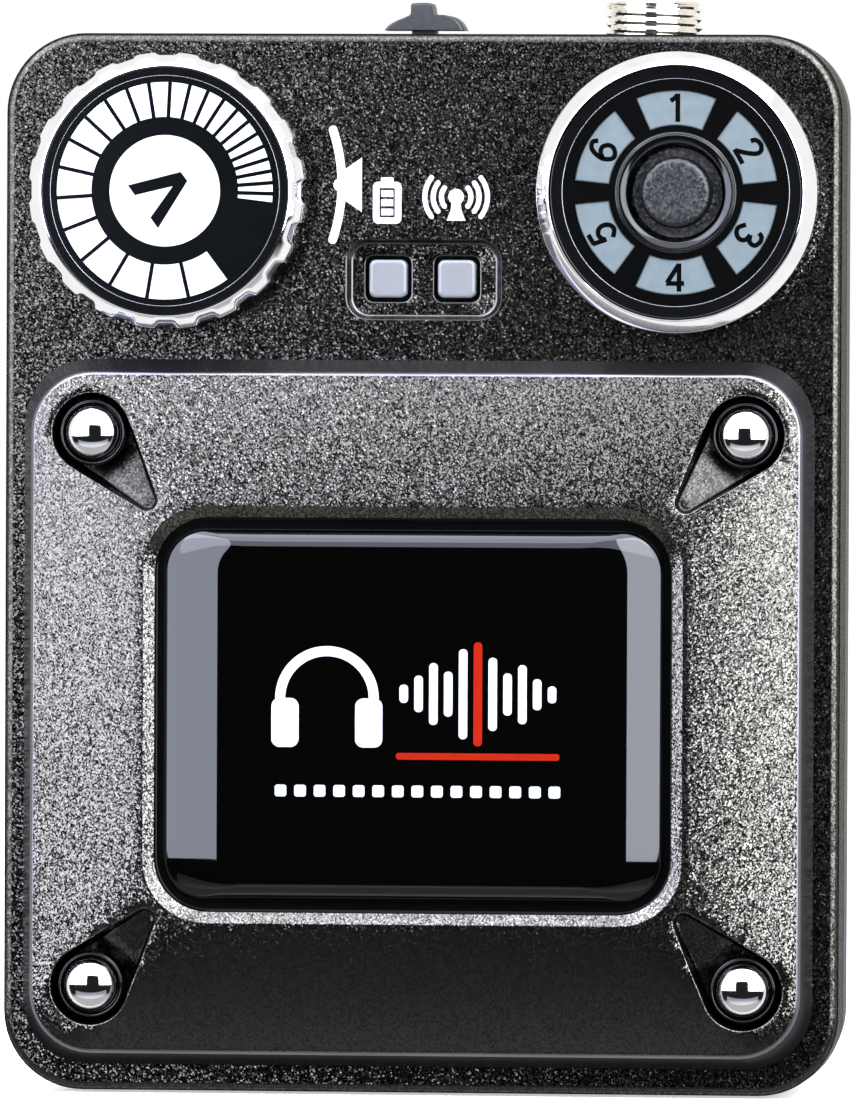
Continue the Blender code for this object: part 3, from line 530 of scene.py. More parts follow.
CASE_CORNER = 5.7
CASE_EDGE = 0.6
CASE_CHAMFER = 0.12
WALL = 1.8
DIAL_AT = centre_of("channel_dial")
KNOB_AT = centre_of("volume_shaft")
TRAY_AT = (0.12, 58.15)
TRAY_HALF = (5.15, 2.55)
TRAY_DEPTH = 0.5
LENS_HALF = 1.36
LENS_SHIFT = -0.32
DIAL_HOLE = 7.9
SHAFT_HOLE = 3.4
JACK_HOLE = 3.8


def lens_place(node):
    at = centre_of(node)
    return at[0] + LENS_SHIFT, at[1]


def front_case():
    low, high = span("front_shell")
    centre, half = centre_of("front_shell"), half_of("front_shell")
    front, lip_end, parting, ceiling = high.z, low.z, 4.0, high.z - WALL

    def outline(inset_u, inset_v, corner, w):
        return rounded_ring((half[0] - inset_u, half[1] - inset_v), corner, centre, w, 16)

    def outer(inset, w):
        return outline(inset, inset, CASE_CORNER - inset, w)

    # Insets along u and v, and the corner's radius.
    cavity, lip = (3.3, 2.8, 3.2), (2.6, 2.1, 3.9)
    steps = ((cavity, ceiling), (cavity, lip_end), (lip, lip_end), (lip, parting))
    rings = [outline(*shape, w) for shape, w in steps]
    rings += [outer(CASE_CHAMFER, parting), outer(0.0, parting + CASE_CHAMFER)]
    rings += [outer(CASE_EDGE * (1 - out), front - CASE_EDGE * (1 - up)) for up, out in quarter(6)]
    bm = bmesh.new()
    # Paint 1, on the sides and the rounded front edge, is the side paint with painted shade at glancing
    # angles.
    loft(bm, rings, paint=1)

    floor = front - TRAY_DEPTH
    steps = (
        (0.46, 1.62, front), (0.40, 1.56, front - 0.04), (0.34, 1.5, front - 0.10),
        (0.12, 1.35, floor + 0.06), (0.04, 1.3, floor + 0.015), (-0.05, 1.25, floor),
    )
    tray = [
        rounded_ring((TRAY_HALF[0] + s, TRAY_HALF[1] + s * 0.75), c, TRAY_AT, w, 10) for s, c, w in steps
    ]
    loft(bm, tray, paint=2)
    openings = [circle_ring(DIAL_HOLE, DIAL_AT, front), circle_ring(SHAFT_HOLE, KNOB_AT, front)]
    for ring in openings:
        loft(bm, [ring, lifted(ring, ceiling)])
    wells = []
    reach = LENS_HALF + 0.26
    steps = (
        (0.13, 0.72, floor), (0.06, 0.66, floor - 0.02), (0.015, 0.6, floor - 0.08), (0.0, 0.6, ceiling),
    )
    for name in ("status_lens_1", "status_lens_2"):
        rings = [rounded_ring((reach + s,) * 2, c, lens_place(name), w, 6) for s, c, w in steps]
        loft(bm, rings, paint=2)
        wells.append(rings)
    fill(bm, outer(CASE_EDGE, front), [tray[0], *openings])
    fill(bm, tray[-1], [well[0] for well in wells])
    fill(bm, outline(*cavity, ceiling), [lifted(o, ceiling) for o in openings] + [well[-1] for well in wells])
    piece("front_case", bm, [case_paint, side_painted_shade, tray_paint], "case", ["front_shell"])


def pin_cutter(radius, centre, low, high, sides=32):
    bm = bmesh.new()
    lathe(bm, [(0, low), (radius, low), (radius, high), (0, high)], centre, sides)
    return bm


def rounded_box(bm, low, high, corner, axis=2):
    """A box whose round edges run along the axis: 0 for u, 1 for v, 2 for w."""
    low, high = Vector(low), Vector(high)
    a, b, c = {0: (1, 2, 0), 1: (2, 0, 1), 2: (0, 1, 2)}[axis]
    half = ((high[a] - low[a]) / 2, (high[b] - low[b]) / 2)
    centre = ((high[a] + low[a]) / 2, (high[b] + low[b]) / 2)
    rings = []
    for level in (low[c], high[c]):
        ring = []
        for p in rounded_ring(half, corner, centre, level, 8):
            point = Vector((0.0, 0.0, 0.0))
            point[a], point[b], point[c] = p
            ring.append(point)
        rings.append(ring)
    solid(bm, rings)


def box_cutter(low, high, corner, axis=2):
    bm = bmesh.new()
    rounded_box(bm, low, high, corner, axis)
    return bm


def upright_cutter(radius, centre_uw, v0, v1, taper=0.0):
    """A cylinder along v, wider at its top by the taper."""
    bm = bmesh.new()
    solid(bm, [upright_ring(radius, centre_uw, v0), upright_ring(radius + taper, centre_uw, v1)])
    return bm


def rear_case():
    low, high = span("rear_shell")
    centre, half = centre_of("rear_shell"), half_of("rear_shell")
    back, top, edge = low.z, high.z, 2.0
    taper, cavity_half = 0.0222, 27.7

    def outer(inset, w):
        ring = rounded_ring((half[0] - inset, half[1] - inset), CASE_CORNER - inset, centre, w, 16)
        narrow = 1 - taper * (top - w) / (top - back)
        return [Vector((p.x * narrow, p.y, p.z)) for p in ring]

    def cavity(w):
        return rounded_ring((cavity_half, half[1] - WALL), CASE_CORNER - WALL, centre, w, 16)

    rings = [cavity(back + WALL), cavity(top), outer(CASE_CHAMFER, top), outer(0.0, top - CASE_CHAMFER)]
    rings += [outer(edge * (1 - out), back + edge * (1 - down)) for down, out in quarter(6)]
    bm = bmesh.new()
    # Paint 1, on all but the back face and the inside floor, is the side paint with painted shade at glancing
    # angles.
    solid(bm, rings, paint=1)
    shell = piece("rear_case", bm, [case_paint, side_painted_shade], "case", ["rear_shell"])
    jack, usb, slot = middle("jack_barrel"), middle("usb_port"), middle("power_slider").x + 0.9
    head = high.y
    inner, outer_end = head - WALL - 1, head + 1
    cutters = [
        upright_cutter(JACK_HOLE, (jack.x, jack.z), inner, outer_end),
        upright_cutter(JACK_HOLE, (jack.x, jack.z), head - 0.25, head + 0.25, taper=0.5),
        box_cutter((slot - 2.3, inner, jack.z - 1.1), (slot + 2.3, outer_end, jack.z + 1.1), 0.25, 1),
        box_cutter((-31, usb.y - 4.8, usb.z - 1.9), (-26.7, usb.y + 4.8, usb.z + 1.9), 1.85, 0),
    ]
    for i in range(1, 5):
        at = centre_of(f"case_screw_{i}")
        cutters.append(pin_cutter(1.85, at, back - 1, back + 1.6))
        cutters.append(pin_cutter(1.1, at, back + 1, back + 3))
    carved(shell, cutters)


# ---------------------------------------------------------------- front plate

PLATE_AT = (-0.15, 27.15)
FACE_HALF = (27.2, 23.95)
FACE_CORNER = 4.0
FACE_TOP = front_of("front_plate")
FACE_RISE = 1.42
MOUTH_AT = centre_of("badge")
MOUTH_HALF = (19.33, 14.9)
MOUTH_CORNER = 4.5
POCKET_LEVEL = 10.0
POCKET_RADIUS = 2.92
TIP_RADIUS = 0.87
TIP_OFFSET = (4.1, 4.8)
SCREW_HOLE = 1.15
# How far in from the pocket's outline, and the share of the way down from the face to its floor.
POCKET_WALL = ((0.0, 0.0), (0.05, 0.02), (0.10, 0.08), (0.14, 0.20), (0.26, 0.85), (0.34, 0.96), (0.48, 1.0))


def face_outline(share):
    half = [a + (b - a) * share for a, b in zip(FACE_HALF, MOUTH_HALF)]
    centre = [a + (b - a) * share for a, b in zip(PLATE_AT, MOUTH_AT)]
    return half, FACE_CORNER + (MOUTH_CORNER - FACE_CORNER) * share, centre


def face_ring(share, w=0.0, arc=10, side=30):
    """One of the rounded rectangles between the plate's edge, 0, and the badge recess, 1."""
    half, corner, centre = face_outline(share)
    return rounded_ring(half, corner, centre, w, arc, side)


def outside_ring(u, v, share):
    half, corner, centre = face_outline(share)
    du = abs(u - centre[0]) - half[0] + corner
    dv = abs(v - centre[1]) - half[1] + corner
    return math.hypot(max(du, 0), max(dv, 0)) + min(max(du, dv), 0) - corner > 0


def face_height(u, v):
    """The face rises from its edge to the badge recess like a picture frame."""
    low, high = 0.0, 1.0
    for _ in range(18):
        share = (low + high) / 2
        if outside_ring(u, v, share):
            high = share
        else:
            low = share
    fall = 1 - low
    return FACE_TOP - FACE_RISE * (0.66 * fall + 0.34 * fall * fall)


def teardrop(at, towards, inset, height):
    """The outline around a screw that narrows towards the plate's middle."""
    big, small = POCKET_RADIUS - inset, TIP_RADIUS - inset
    tip = Vector((at[0] + towards[0] * TIP_OFFSET[0], at[1] + towards[1] * TIP_OFFSET[1]))
    axis = tip - Vector(at)
    direction = math.atan2(axis.y, axis.x)
    lean = math.acos((big - small) / axis.length)
    points = []
    for middle_at, radius, start, end, steps in (
        (Vector(at), big, direction + lean, direction + 2 * math.pi - lean, 40),
        (tip, small, direction - lean, direction + lean, 12),
    ):
        for i in range(steps + 1):
            a = start + (end - start) * i / steps
            points.append(middle_at + radius * Vector((math.cos(a), math.sin(a))))
    ring = []
    count = len(points)
    for i, p in enumerate(points):
        ring.append(p)
        following = points[(i + 1) % count]
        if i in (40, count - 1):
            ring += [p.lerp(following, k / 8) for k in range(1, 8)]
    return [Vector((p.x, p.y, height(p.x, p.y))) for p in ring]


def pocket(bm, at):
    """A screw pocket: rounded rim, steep wall and a floor that ramps up to the narrow end; wall and floor in
    painted shade.
    """
    towards = (-math.copysign(1, at[0]), 1 if at[1] < PLATE_AT[1] else -1)
    length = math.hypot(*TIP_OFFSET)

    def floor(u, v):
        along = (u - at[0]) * towards[0] * TIP_OFFSET[0] + (v - at[1]) * towards[1] * TIP_OFFSET[1]
        share = along / length ** 2
        return POCKET_LEVEL + 2.2 * min(1.0, max(0.0, (share - 0.34) / 0.66))

    rings = []
    for inset, share in POCKET_WALL:
        def level(u, v, share=share):
            return face_height(u, v) * (1 - share) + floor(u, v) * share
        rings.append(teardrop(at, towards, inset, level))
    loft(bm, rings[:3])
    # Paint 4, the darker pocket paint, is painted shade on the pocket's wall and floor.
    loft(bm, rings[2:], paint=4)
    hole = circle_ring(SCREW_HOLE, at, POCKET_LEVEL, 24)
    extra = []
    for step in range(1, 16):
        reach = step / 15
        for side in (-0.6, -0.2, 0.2, 0.6):
            width = (2.2 - 1.9 * reach) * side
            u = at[0] + towards[0] * (TIP_OFFSET[0] * reach) - towards[1] * width * 0.75
            v = at[1] + towards[1] * (TIP_OFFSET[1] * reach) + towards[0] * width * 0.65
            if math.hypot(u - at[0], v - at[1]) > SCREW_HOLE + 0.1 and inside(rings[-1], u, v):
                extra.append((u, v))
    fill(bm, rings[-1], [hole], floor, extra, paint=4)
    base = span("front_plate")[0].z
    loft(bm, [hole, lifted(hole, base)], paint=4)
    return rings[0], lifted(hole, base)


def plate():
    low, high = span("front_plate")
    base_half = half_of("front_plate")
    edge = high.z - FACE_RISE
    bm = bmesh.new()
    wall = [
        (base_half[0], base_half[1], 4.7, low.z),
        (base_half[0], base_half[1], 4.7, low.z + 0.1),
        (27.72, 24.47, 4.45, edge - 0.62),
        (27.64, 24.39, 4.4, edge - 0.34),
        (27.53, 24.28, 4.3, edge - 0.14),
        (27.38, 24.13, 4.15, edge - 0.03),
        (27.30, 24.05, 4.10, edge - 0.02),
        (FACE_HALF[0], FACE_HALF[1], FACE_CORNER, edge),
    ]
    rings = [rounded_ring((hu, hv), c, PLATE_AT, w, 10, 30) for hu, hv, c, w in wall]
    # Paint 1 on the wall is the dark wall paint, partly its own colour and partly painted shade.
    loft(bm, rings[:4], paint=1)
    # Paint 3 on the wall's rounded top is the brightened rim paint, a painted highlight.
    loft(bm, rings[3:6], paint=3)
    loft(bm, rings[5:])
    rims, holes = zip(*[pocket(bm, centre_of(f"plate_screw_{i}")) for i in range(1, 5)])
    mouth = [
        (MOUTH_HALF[0], MOUTH_HALF[1], MOUTH_CORNER, high.z),
        (19.29, 14.86, 4.46, high.z - 0.006),
        (19.23, 14.80, 4.41, high.z - 0.03),
        (18.56, 14.11, 3.9, high.z - 0.39),
        (18.50, 14.05, 3.84, high.z - 0.45),
        (18.40, 13.90, 3.7, high.z - 1.10),
    ]
    recess = [rounded_ring((hu, hv), c, MOUTH_AT, w, 10, 30) for hu, hv, c, w in mouth]
    loft(bm, recess[:5])
    loft(bm, recess[4:], paint=2)
    cap(bm, recess[-1], 2)
    extra = []
    for share in (0.04, 0.12, 0.24, 0.38, 0.52, 0.66, 0.8, 0.92):
        for p in face_ring(share, 0.0, 10, 24):
            if not any(inside(rim, p.x, p.y) for rim in rims):
                extra.append((p.x, p.y))
    fill(bm, rings[-1], [recess[0], *rims], face_height, extra)
    fill(bm, rings[0], holes)
    # Of these, the wall paint carries painted shade, the rim paint a painted highlight and the pocket paint
    # painted shade.
    paints = [plate_paint, plate_edge_dark_paint_and_shade, gloss_black, plate_rim_painted_highlight, pocket_painted_shade]
    piece("plate_cover", bm, paints, "case", ["front_plate"], sharp=40)


# ---------------------------------------------------------------- badge

BADGE_CORNER = 3.0
BADGE_CROWN = 4.35  # width of the curved border at the sides
BADGE_STEEP = 0.3  # the same at the top and bottom, as a share of it
BADGE_SLOPES = ((0.0, 70.0), (0.12, 52.0), (0.3, 30.0), (0.5, 20.0), (2.64, 8.7), (4.0, 3.5), (4.35, 0.0))


def slope_at(inset):
    for (e0, s0), (e1, s1) in zip(BADGE_SLOPES, BADGE_SLOPES[1:]):
        if inset <= e1:
            return s0 + (s1 - s0) * (inset - e0) / (e1 - e0)
    return 0.0


def badge_profile():
    """(inset, height above the badge's foot) of the domed epoxy, steep at the rim and flat inside."""
    insets = [0, 0.03, 0.07, 0.12, 0.18, 0.24, 0.3, 0.36, 0.43, 0.5]
    insets += [0.5 + (BADGE_CROWN - 0.5) * i / 20 for i in range(1, 21)]
    rise, profile = 0.0, [(0.0, 0.0)]
    for before, inset in zip(insets, insets[1:]):
        rise += math.tan(math.radians(slope_at((before + inset) / 2))) * (inset - before)
        profile.append((inset, rise))
    return profile


def badge():
    low, high = span("badge")
    centre, half = centre_of("badge"), half_of("badge")
    profile = badge_profile()
    crown = high.z - 0.02
    foot = crown - profile[-1][1]
    rings = [rounded_ring(half, BADGE_CORNER, centre, low.z, 16, 10)]
    for inset, rise in profile:
        corner = BADGE_CORNER - 1.2 * inset / BADGE_CROWN
        reach = (half[0] - inset, half[1] - inset * BADGE_STEEP)
        rings.append(rounded_ring(reach, corner, centre, foot + rise, 16, 10))
    closed_piece("badge_dome", rings, epoxy, "case", ["badge"], 60)
    badge_mark(centre, crown)


def badge_mark(centre, top):
    """A plain headphone sign, a level meter and a row of dots, printed under the gloss."""
    u0, v0 = centre
    low, high = top - 0.05, top + 0.012
    white, red = bmesh.new(), bmesh.new()
    phones = (u0 - 6.05, v0 + 1.25)
    slab(white, ribbon(arc_points(3.35, phones, -8, 188, 40), 0.72, 0.0, False), low, high - 0.004)
    for side in (-1, 1):
        cup = (phones[0] + side * 3.0, phones[1] - 1.75)
        slab(white, rounded_ring((0.98, 1.75), 0.6, cup, 0.0, 8), low, high)
    heights = (1.3, 2.6, 4.4, 3.2, 6.4, 7.4, 5.2, 3.0, 4.2, 2.2, 1.2)
    for i, tall in enumerate(heights):
        bar = (u0 - 0.55 + i * 1.06, v0 + 1.6)
        target = red if i == 5 else white
        slab(target, rounded_ring((0.31, tall / 2), 0.28, bar, 0.0, 6), low, high)
    slab(red, rounded_ring((5.85, 0.24), 0.2, (u0 + 4.75, v0 - 2.85), 0.0, 6), low, high)
    for i in range(15):
        dot = (u0 - 9.35 + i * 1.4, v0 - 5.35)
        slab(white, rounded_ring((0.42, 0.42), 0.18, dot, 0.0, 6), low, high)
    piece("badge_mark_white", white, [badge_white], "case")
    piece("badge_mark_red", red, [badge_red], "case")


# ---------------------------------------------------------------- screws


def plate_screws():
    for i in range(1, 5):
        at = centre_of(f"plate_screw_{i}")
        top = front_of(f"plate_screw_{i}")
        leans = [math.radians(84) * k / 16 for k in range(1, 17)]
        dome = [(0.0, top)] + [(1.88 * math.sin(a), top - 1.0 + math.cos(a)) for a in leans]
        profile = dome + [(1.90, top - 0.97), (1.90, top - 1.1), (0.8, top - 1.12), (0.8, 6.5), (0.0, 6.5)]
        on = ("case", [f"plate_screw_{i}"], "chrome_trim", 50)
        turned(f"plate_screw_dome_{i}", profile, at, 48, chrome, *on, tube=False)
        low = span(f"plate_washer_{i}")[0].z
        cup = ((1.2, 0.0), (2.36, 0.0), (2.36, 0.75), (2.32, 0.86), (2.23, 0.90), (2.14, 0.86),
               (2.09, 0.76), (2.02, 0.62), (1.2, 0.56))
        profile = [(r, low + w) for r, w in cup]
        on = ("case", [f"plate_washer_{i}"], "washer_rubber", 50)
        turned(f"plate_washer_cup_{i}", profile, at, 48, gloss_black, *on)


def cross_head(node, name, seat, top, radius):
    """A small pan head with a cross recess. It faces the back, so its top is below its seat."""
    at = centre_of(node)
    tip = span(node)[1].z
    shank, recess = 0.8, 0.55
    dome = [(radius * out, seat + (top - seat) * (0.3 + 0.7 * up)) for out, up in quarter(8)[1:]]
    profile = [(0.0, top)] + dome + [(radius, seat), (shank, seat), (shank, tip), (0.0, tip)]
    obj = turned(name, profile, at, 32, steel, "case", [node], "steel", 50, tube=False)
    cutters = []
    for wide, tall in ((radius * 0.62, 0.16), (0.16, radius * 0.62)):
        low = (at[0] - wide, at[1] - tall, top - 1)
        high = (at[0] + wide, at[1] + tall, top + recess)
        cutters.append(box_cutter(low, high, 0.08))
    carved(obj, cutters)


def back_screws():
    for i in range(1, 5):
        cross_head(f"case_screw_{i}", f"case_screw_head_{i}", -7.7, -8.75, 1.5)
    for i in range(1, 3):
        cross_head(f"clip_screw_{i}", f"clip_screw_head_{i}", -10.6, -11.6, 1.7)


# ---------------------------------------------------------------- volume knob

KNOB_OUTER = 9.9
KNOB_SEAT = 12.0  # level of the floor inside the knob's band
KNOB_LOBES = 20
BAND_INNER = 8.97
LABEL_RADIUS = 8.16


def scalloped(radius, depth, w, sides=360):
    ring = []
    for a in turns(sides):
        wave = 0.5 + 0.5 * math.cos(KNOB_LOBES * a)
        share = min(1.0, max(0.0, (wave - 0.42) / 0.26))
        groove = share * share * (3 - 2 * share)
        ring.append(polar(KNOB_AT, radius - depth * groove, a, w))
    return ring


def volume_knob():
    low, high = span("volume_knob")
    base, top = low.z, high.z
    steps = (
        (8.4, 0.0, 11.3), (8.4, 0.0, base), (9.75, 0.18, base), (KNOB_OUTER, 0.2, base + 0.12),
        (KNOB_OUTER, 0.2, top - 0.98), (9.87, 0.18, top - 0.88), (9.80, 0.13, top - 0.80),
        (9.03, 0.0, top - 0.05), (BAND_INNER, 0.0, top - 0.02), (BAND_INNER - 0.06, 0.0, top),
        (BAND_INNER - 0.10, 0.0, top - 0.06), (BAND_INNER - 0.10, 0.0, KNOB_SEAT + 0.1),
    )
    rings = [scalloped(r, depth, w) for r, depth, w in steps]
    closed_piece("knob_grip", rings, chrome, "volume_knob", ["volume_knob"], 28)

    profile = [(8.86, KNOB_SEAT), (8.86, top - 0.06)]
    pitch = 0.115
    for i in range(5):
        r = 8.80 - i * pitch
        profile += [(r, top - 0.015), (r - pitch / 2, top - 0.05)]
    profile += [(8.21, top - 0.02), (8.21, KNOB_SEAT)]
    turned("knob_collar", profile, KNOB_AT, 128, turned_black, "volume_knob", [], "black_plastic", 80)
    profile = [(8.25, top - 0.05), (8.235, top), (8.22, top), (8.205, top - 0.04)]
    turned("knob_bright_line", profile, KNOB_AT, 128, fine_line, "volume_knob", [], "chrome_trim", 80)
    face = top - 0.03
    profile = [(0, KNOB_SEAT), (LABEL_RADIUS, KNOB_SEAT), (LABEL_RADIUS, face), (0, face)]
    label = ("volume_knob", ["volume_label"], "badge_gloss")
    turned("knob_label", profile, KNOB_AT, 96, navy_print, *label, tube=False)
    knob_print(face)


def knob_print(face):
    """The volume scale, a white disc and the pointer on it."""
    bm = bmesh.new()
    count, ratio, start, whole = 25, 0.941, -53.4, 313.5
    width = whole * (1 - ratio) / (1 - ratio ** count)
    angle = start
    for _ in range(count):
        direction = math.radians(angle - width / 2)
        outline = sector(5.27, 7.75, math.radians(width / 2), direction, KNOB_AT, 0.0, 8, 0.14)
        slab(bm, outline, face - 0.05, face + 0.015)
        angle -= width
        width *= ratio
    slab(bm, circle_ring(3.97, KNOB_AT, 0.0), face - 0.05, face + 0.015)
    piece("knob_scale", bm, [white_print], "volume_knob")
    arrow = ((-2.65, 0.38), (1.14, 1.35), (1.63, 0.71), (-0.47, -2.68),
             (-1.02, -1.92), (0.58, 0.33), (-2.15, -0.32))
    bm = bmesh.new()
    slab(bm, flat_shape(KNOB_AT, arrow[::-1]), face - 0.02, face + 0.026)
    piece("knob_pointer", bm, [navy_print], "volume_knob")


# ---------------------------------------------------------------- channel dial


DIAL_SEAT = 9.3
SECTOR_HALF = math.radians(24.0)
SECTOR_AT = [math.radians(90 - 60 * i) for i in range(6)]  # clockwise from the top


def channel_dial():
    top = front_of("channel_bezel")
    profile = [(10.05, DIAL_SEAT), (10.05, top - 0.96), (10.02, top - 0.86), (9.95, top - 0.79),
               (9.21, top - 0.06), (9.16, top - 0.02), (9.11, top), (9.07, top - 0.04), (9.06, top - 0.12),
               (9.06, DIAL_SEAT)]
    turned("dial_bezel", profile, DIAL_AT, 144, chrome, "case", ["channel_bezel"], "chrome_trim")
    face = 11.9
    bm = bmesh.new()
    under, foot, lip = 11.2, 7.0, 12.1
    profile = [(8.3, under), (8.3, DIAL_SEAT), (9.0, DIAL_SEAT), (9.0, face - 0.02)]
    pitch = 0.15
    for i in range(6):
        r = 8.95 - i * pitch
        profile += [(r, face + 0.045), (r - pitch / 2, face)]
    profile += [(8.04, face)]
    rings = [circle_ring(r, DIAL_AT, w, 144) for r, w in profile]
    loft(bm, rings)
    collar = [(4.32, face), (4.26, face + 0.01), (4.22, lip - 0.03), (4.19, lip - 0.005), (4.15, lip),
              (3.60, lip - 0.12), (3.56, lip - 0.14), (3.53, lip - 0.18),
              (3.50, lip - 0.3), (3.50, foot), (4.2, foot), (4.2, under)]
    collar_rings = [circle_ring(r, DIAL_AT, w, 144) for r, w in collar]
    loft(bm, collar_rings)
    windows = []
    for direction in SECTOR_AT:
        outline = sector(4.76, 7.3, SECTOR_HALF, direction, DIAL_AT, face, 14, 0.06)
        loft(bm, [outline, lifted(outline, under)])
        windows.append(outline)
    fill(bm, rings[-1], [collar_rings[0], *windows])
    fill(bm, lifted(rings[0], under), [collar_rings[-1], *[lifted(w, under) for w in windows]])
    piece("dial_face", bm, [turned_black, gloss_black], "case", ["channel_dial"], sharp=80)
    for polygon in bpy.data.objects["dial_face"].data.polygons:
        reach = math.hypot(polygon.center.x / MM - DIAL_AT[0], polygon.center.z / MM - DIAL_AT[1])
        polygon.material_index = 0 if reach > 8.05 else 1

    profile = [(8.13, face), (8.12, face + 0.03), (8.10, face + 0.03), (8.09, face)]
    turned("dial_bright_line", profile, DIAL_AT, 144, fine_line, "case", [], "chrome_trim", 80)
    bm = bmesh.new()
    for r in (4.10, 3.62):
        w = lip + 0.005 if r > 4 else lip - 0.115
        lathe(bm, [(r + 0.025, w - 0.02), (r, w + 0.012), (r - 0.025, w - 0.02)], DIAL_AT, 96, tube=True)
    piece("dial_collar_lines", bm, [fine_line], "case", sharp=80)
    dial_panes()


def dial_panes():
    bm = bmesh.new()
    level = 11.78
    for direction in SECTOR_AT:
        wide = sector(4.80, 7.26, SECTOR_HALF, direction, DIAL_AT, 0.0, 14, 0.10)
        slim = sector(4.88, 7.18, SECTOR_HALF, direction, DIAL_AT, 0.0, 14, 0.18)
        solid(bm, [lifted(wide, 10.9), lifted(wide, level - 0.06), lifted(slim, level)])
    lathe(bm, [(7.6, 10.88), (7.6, 5.0), (4.5, 5.0), (4.5, 10.88)], DIAL_AT, 96, tube=True)
    piece("dial_panes", bm, [pane_blue], "case", ["channel_light_guide"], sharp=25)

    bm = bmesh.new()
    for direction, turn, strokes in zip(SECTOR_AT, (0, -60, -120, 0, 120, 60), digit_strokes()):
        place = polar(DIAL_AT, 6.03, direction).to_2d()
        spin = Matrix.Rotation(math.radians(turn), 2)
        for k, stroke in enumerate(strokes):
            line = [place + spin @ Vector(p) for p in stroke]
            slab(bm, ribbon(line, 0.33, 0.0, False), level - 0.03, level + 0.015 + 0.004 * k)
    piece("dial_numbers", bm, [gloss_black], "case")


def digit_strokes():
    """The strokes of the digits 1 to 6, each drawn 2 mm tall around its middle."""
    two, upper, lower, five, six = (smooth_line(points) for points in (
        [(-0.52, 0.42), (-0.42, 0.76), (0.0, 0.93), (0.42, 0.74), (0.46, 0.36), (0.1, -0.2), (-0.5, -0.86)],
        [(-0.50, 0.55), (-0.36, 0.84), (0.02, 0.93), (0.42, 0.72), (0.38, 0.28), (-0.08, 0.08)],
        [(-0.08, 0.08), (0.40, -0.06), (0.56, -0.45), (0.30, -0.84), (-0.12, -0.92), (-0.55, -0.55)],
        [(-0.40, 0.02), (0.02, 0.26), (0.42, 0.10), (0.56, -0.32), (0.36, -0.78), (-0.06, -0.93),
         (-0.52, -0.58)],
        [(0.42, 0.62), (0.12, 0.92), (-0.30, 0.74), (-0.52, 0.18), (-0.52, -0.36), (-0.22, -0.86),
         (0.14, -0.92), (0.50, -0.60), (0.50, -0.18), (0.16, 0.14), (-0.24, 0.04), (-0.50, -0.30)],
    ))
    return (
        ([(0.12, -1.0), (0.12, 1.0)], [(0.10, 0.92), (-0.12, 0.66), (-0.40, 0.50)]),
        (two, [(-0.60, -0.87), (0.58, -0.87)]),
        (upper, lower),
        ([(0.26, -1.0), (0.26, 1.0)], [(0.24, 0.92), (-0.60, -0.38)], [(-0.66, -0.42), (0.62, -0.42)]),
        ([(-0.28, 0.87), (0.50, 0.87)], [(-0.24, 0.94), (-0.42, -0.10)], five),
        (six,),
    )


def channel_button():
    top = front_of("channel_button")
    radius, round_u, round_w = 2.53, 0.45, 0.5
    profile = [(0.0, top - 0.03), (1.6, top - 0.01)]
    profile += [(radius - round_u * (1 - up), top - round_w * (1 - along)) for up, along in quarter(6)]
    profile += [(radius, 10.0), (3.2, 10.0), (3.2, 6.7), (3.9, 6.7), (3.9, 6.2), (0.0, 6.2)]
    on = ("channel_button", ["channel_button"], "black_plastic", 50)
    turned("button_cap", profile, DIAL_AT, 72, button_grey, *on, tube=False)


# ---------------------------------------------------------------- status lights and signs


def status_lenses():
    for i in (1, 2):
        node = f"status_lens_{i}"
        low, high = span(node)
        steps = ((0.0, 0.5, low.z), (0.0, 0.5, high.z - 0.22), (0.03, 0.47, high.z - 0.12),
                 (0.10, 0.42, high.z - 0.04), (0.20, 0.36, high.z - 0.005), (0.32, 0.3, high.z))
        rings = [rounded_ring((LENS_HALF - s,) * 2, c, lens_place(node), w, 8) for s, c, w in steps]
        closed_piece(f"light_window_{i}", rings, lens_white, "case", [node], 50)


def printed_signs():
    """Battery, signal and knob marks in white print on the case."""
    top = front_of("front_shell")
    low, high = top - 0.03, top + 0.015
    bm = bmesh.new()
    u, v = -2.53, 63.75
    frame_out = rounded_ring((1.03, 1.5), 0.38, (u, v - 0.12), high, 6)
    frame_in = rounded_ring((0.55, 1.05), 0.06, (u, v - 0.12), high, 6)
    for ring in (frame_in, frame_out):
        loft(bm, [lifted(ring, low), ring])
    fill(bm, frame_out, [frame_in])
    fill(bm, lifted(frame_out, low), [lifted(frame_in, low)])
    slab(bm, rounded_ring((0.46, 0.17), 0.1, (u, v + 1.52), 0.0, 4), low, high)
    for step in (-1, 0, 1):
        slab(bm, rounded_ring((0.44, 0.24), 0.05, (u, v - 0.12 + step * 0.66), 0.0, 4), low, high)

    u, v = 2.42, 64.05
    slab(bm, circle_ring(0.56, (u, v + 0.02), 0.0, 32), low, high)
    foot = [(-0.30, -0.3), (0.30, -0.3), (0.40, -1.0), (0.68, -1.68), (-0.68, -1.68), (-0.40, -1.0)]
    slab(bm, flat_shape((u, v), foot[::-1]), low, high - 0.002)
    for side in (0, 180):
        for radius in (1.06, 1.65, 2.25):
            line = arc_points(radius, (u, v), side - 38, side + 38, 14)
            slab(bm, ribbon(line, 0.36, 0.0), low, high)

    u, v = KNOB_AT[0], KNOB_AT[1] + 0.5
    reach = 12.3
    slab(bm, ribbon(arc_points(reach, (u, v), -18.6, 18.6, 24), 0.62, 0.0), low, high)
    wedge = [(1.45, -1.95), (1.45, 1.95), (0.2, 1.1), (0.2, -1.1)]
    slab(bm, flat_shape((u + reach, v), wedge), low, high - 0.002)
    slab(bm, circle_ring(0.48, (u + reach - 0.12, v), 0.0, 32), low, high - 0.004)
    piece("printed_signs", bm, [white_print], "case")


# ---------------------------------------------------------------- top, side and clip


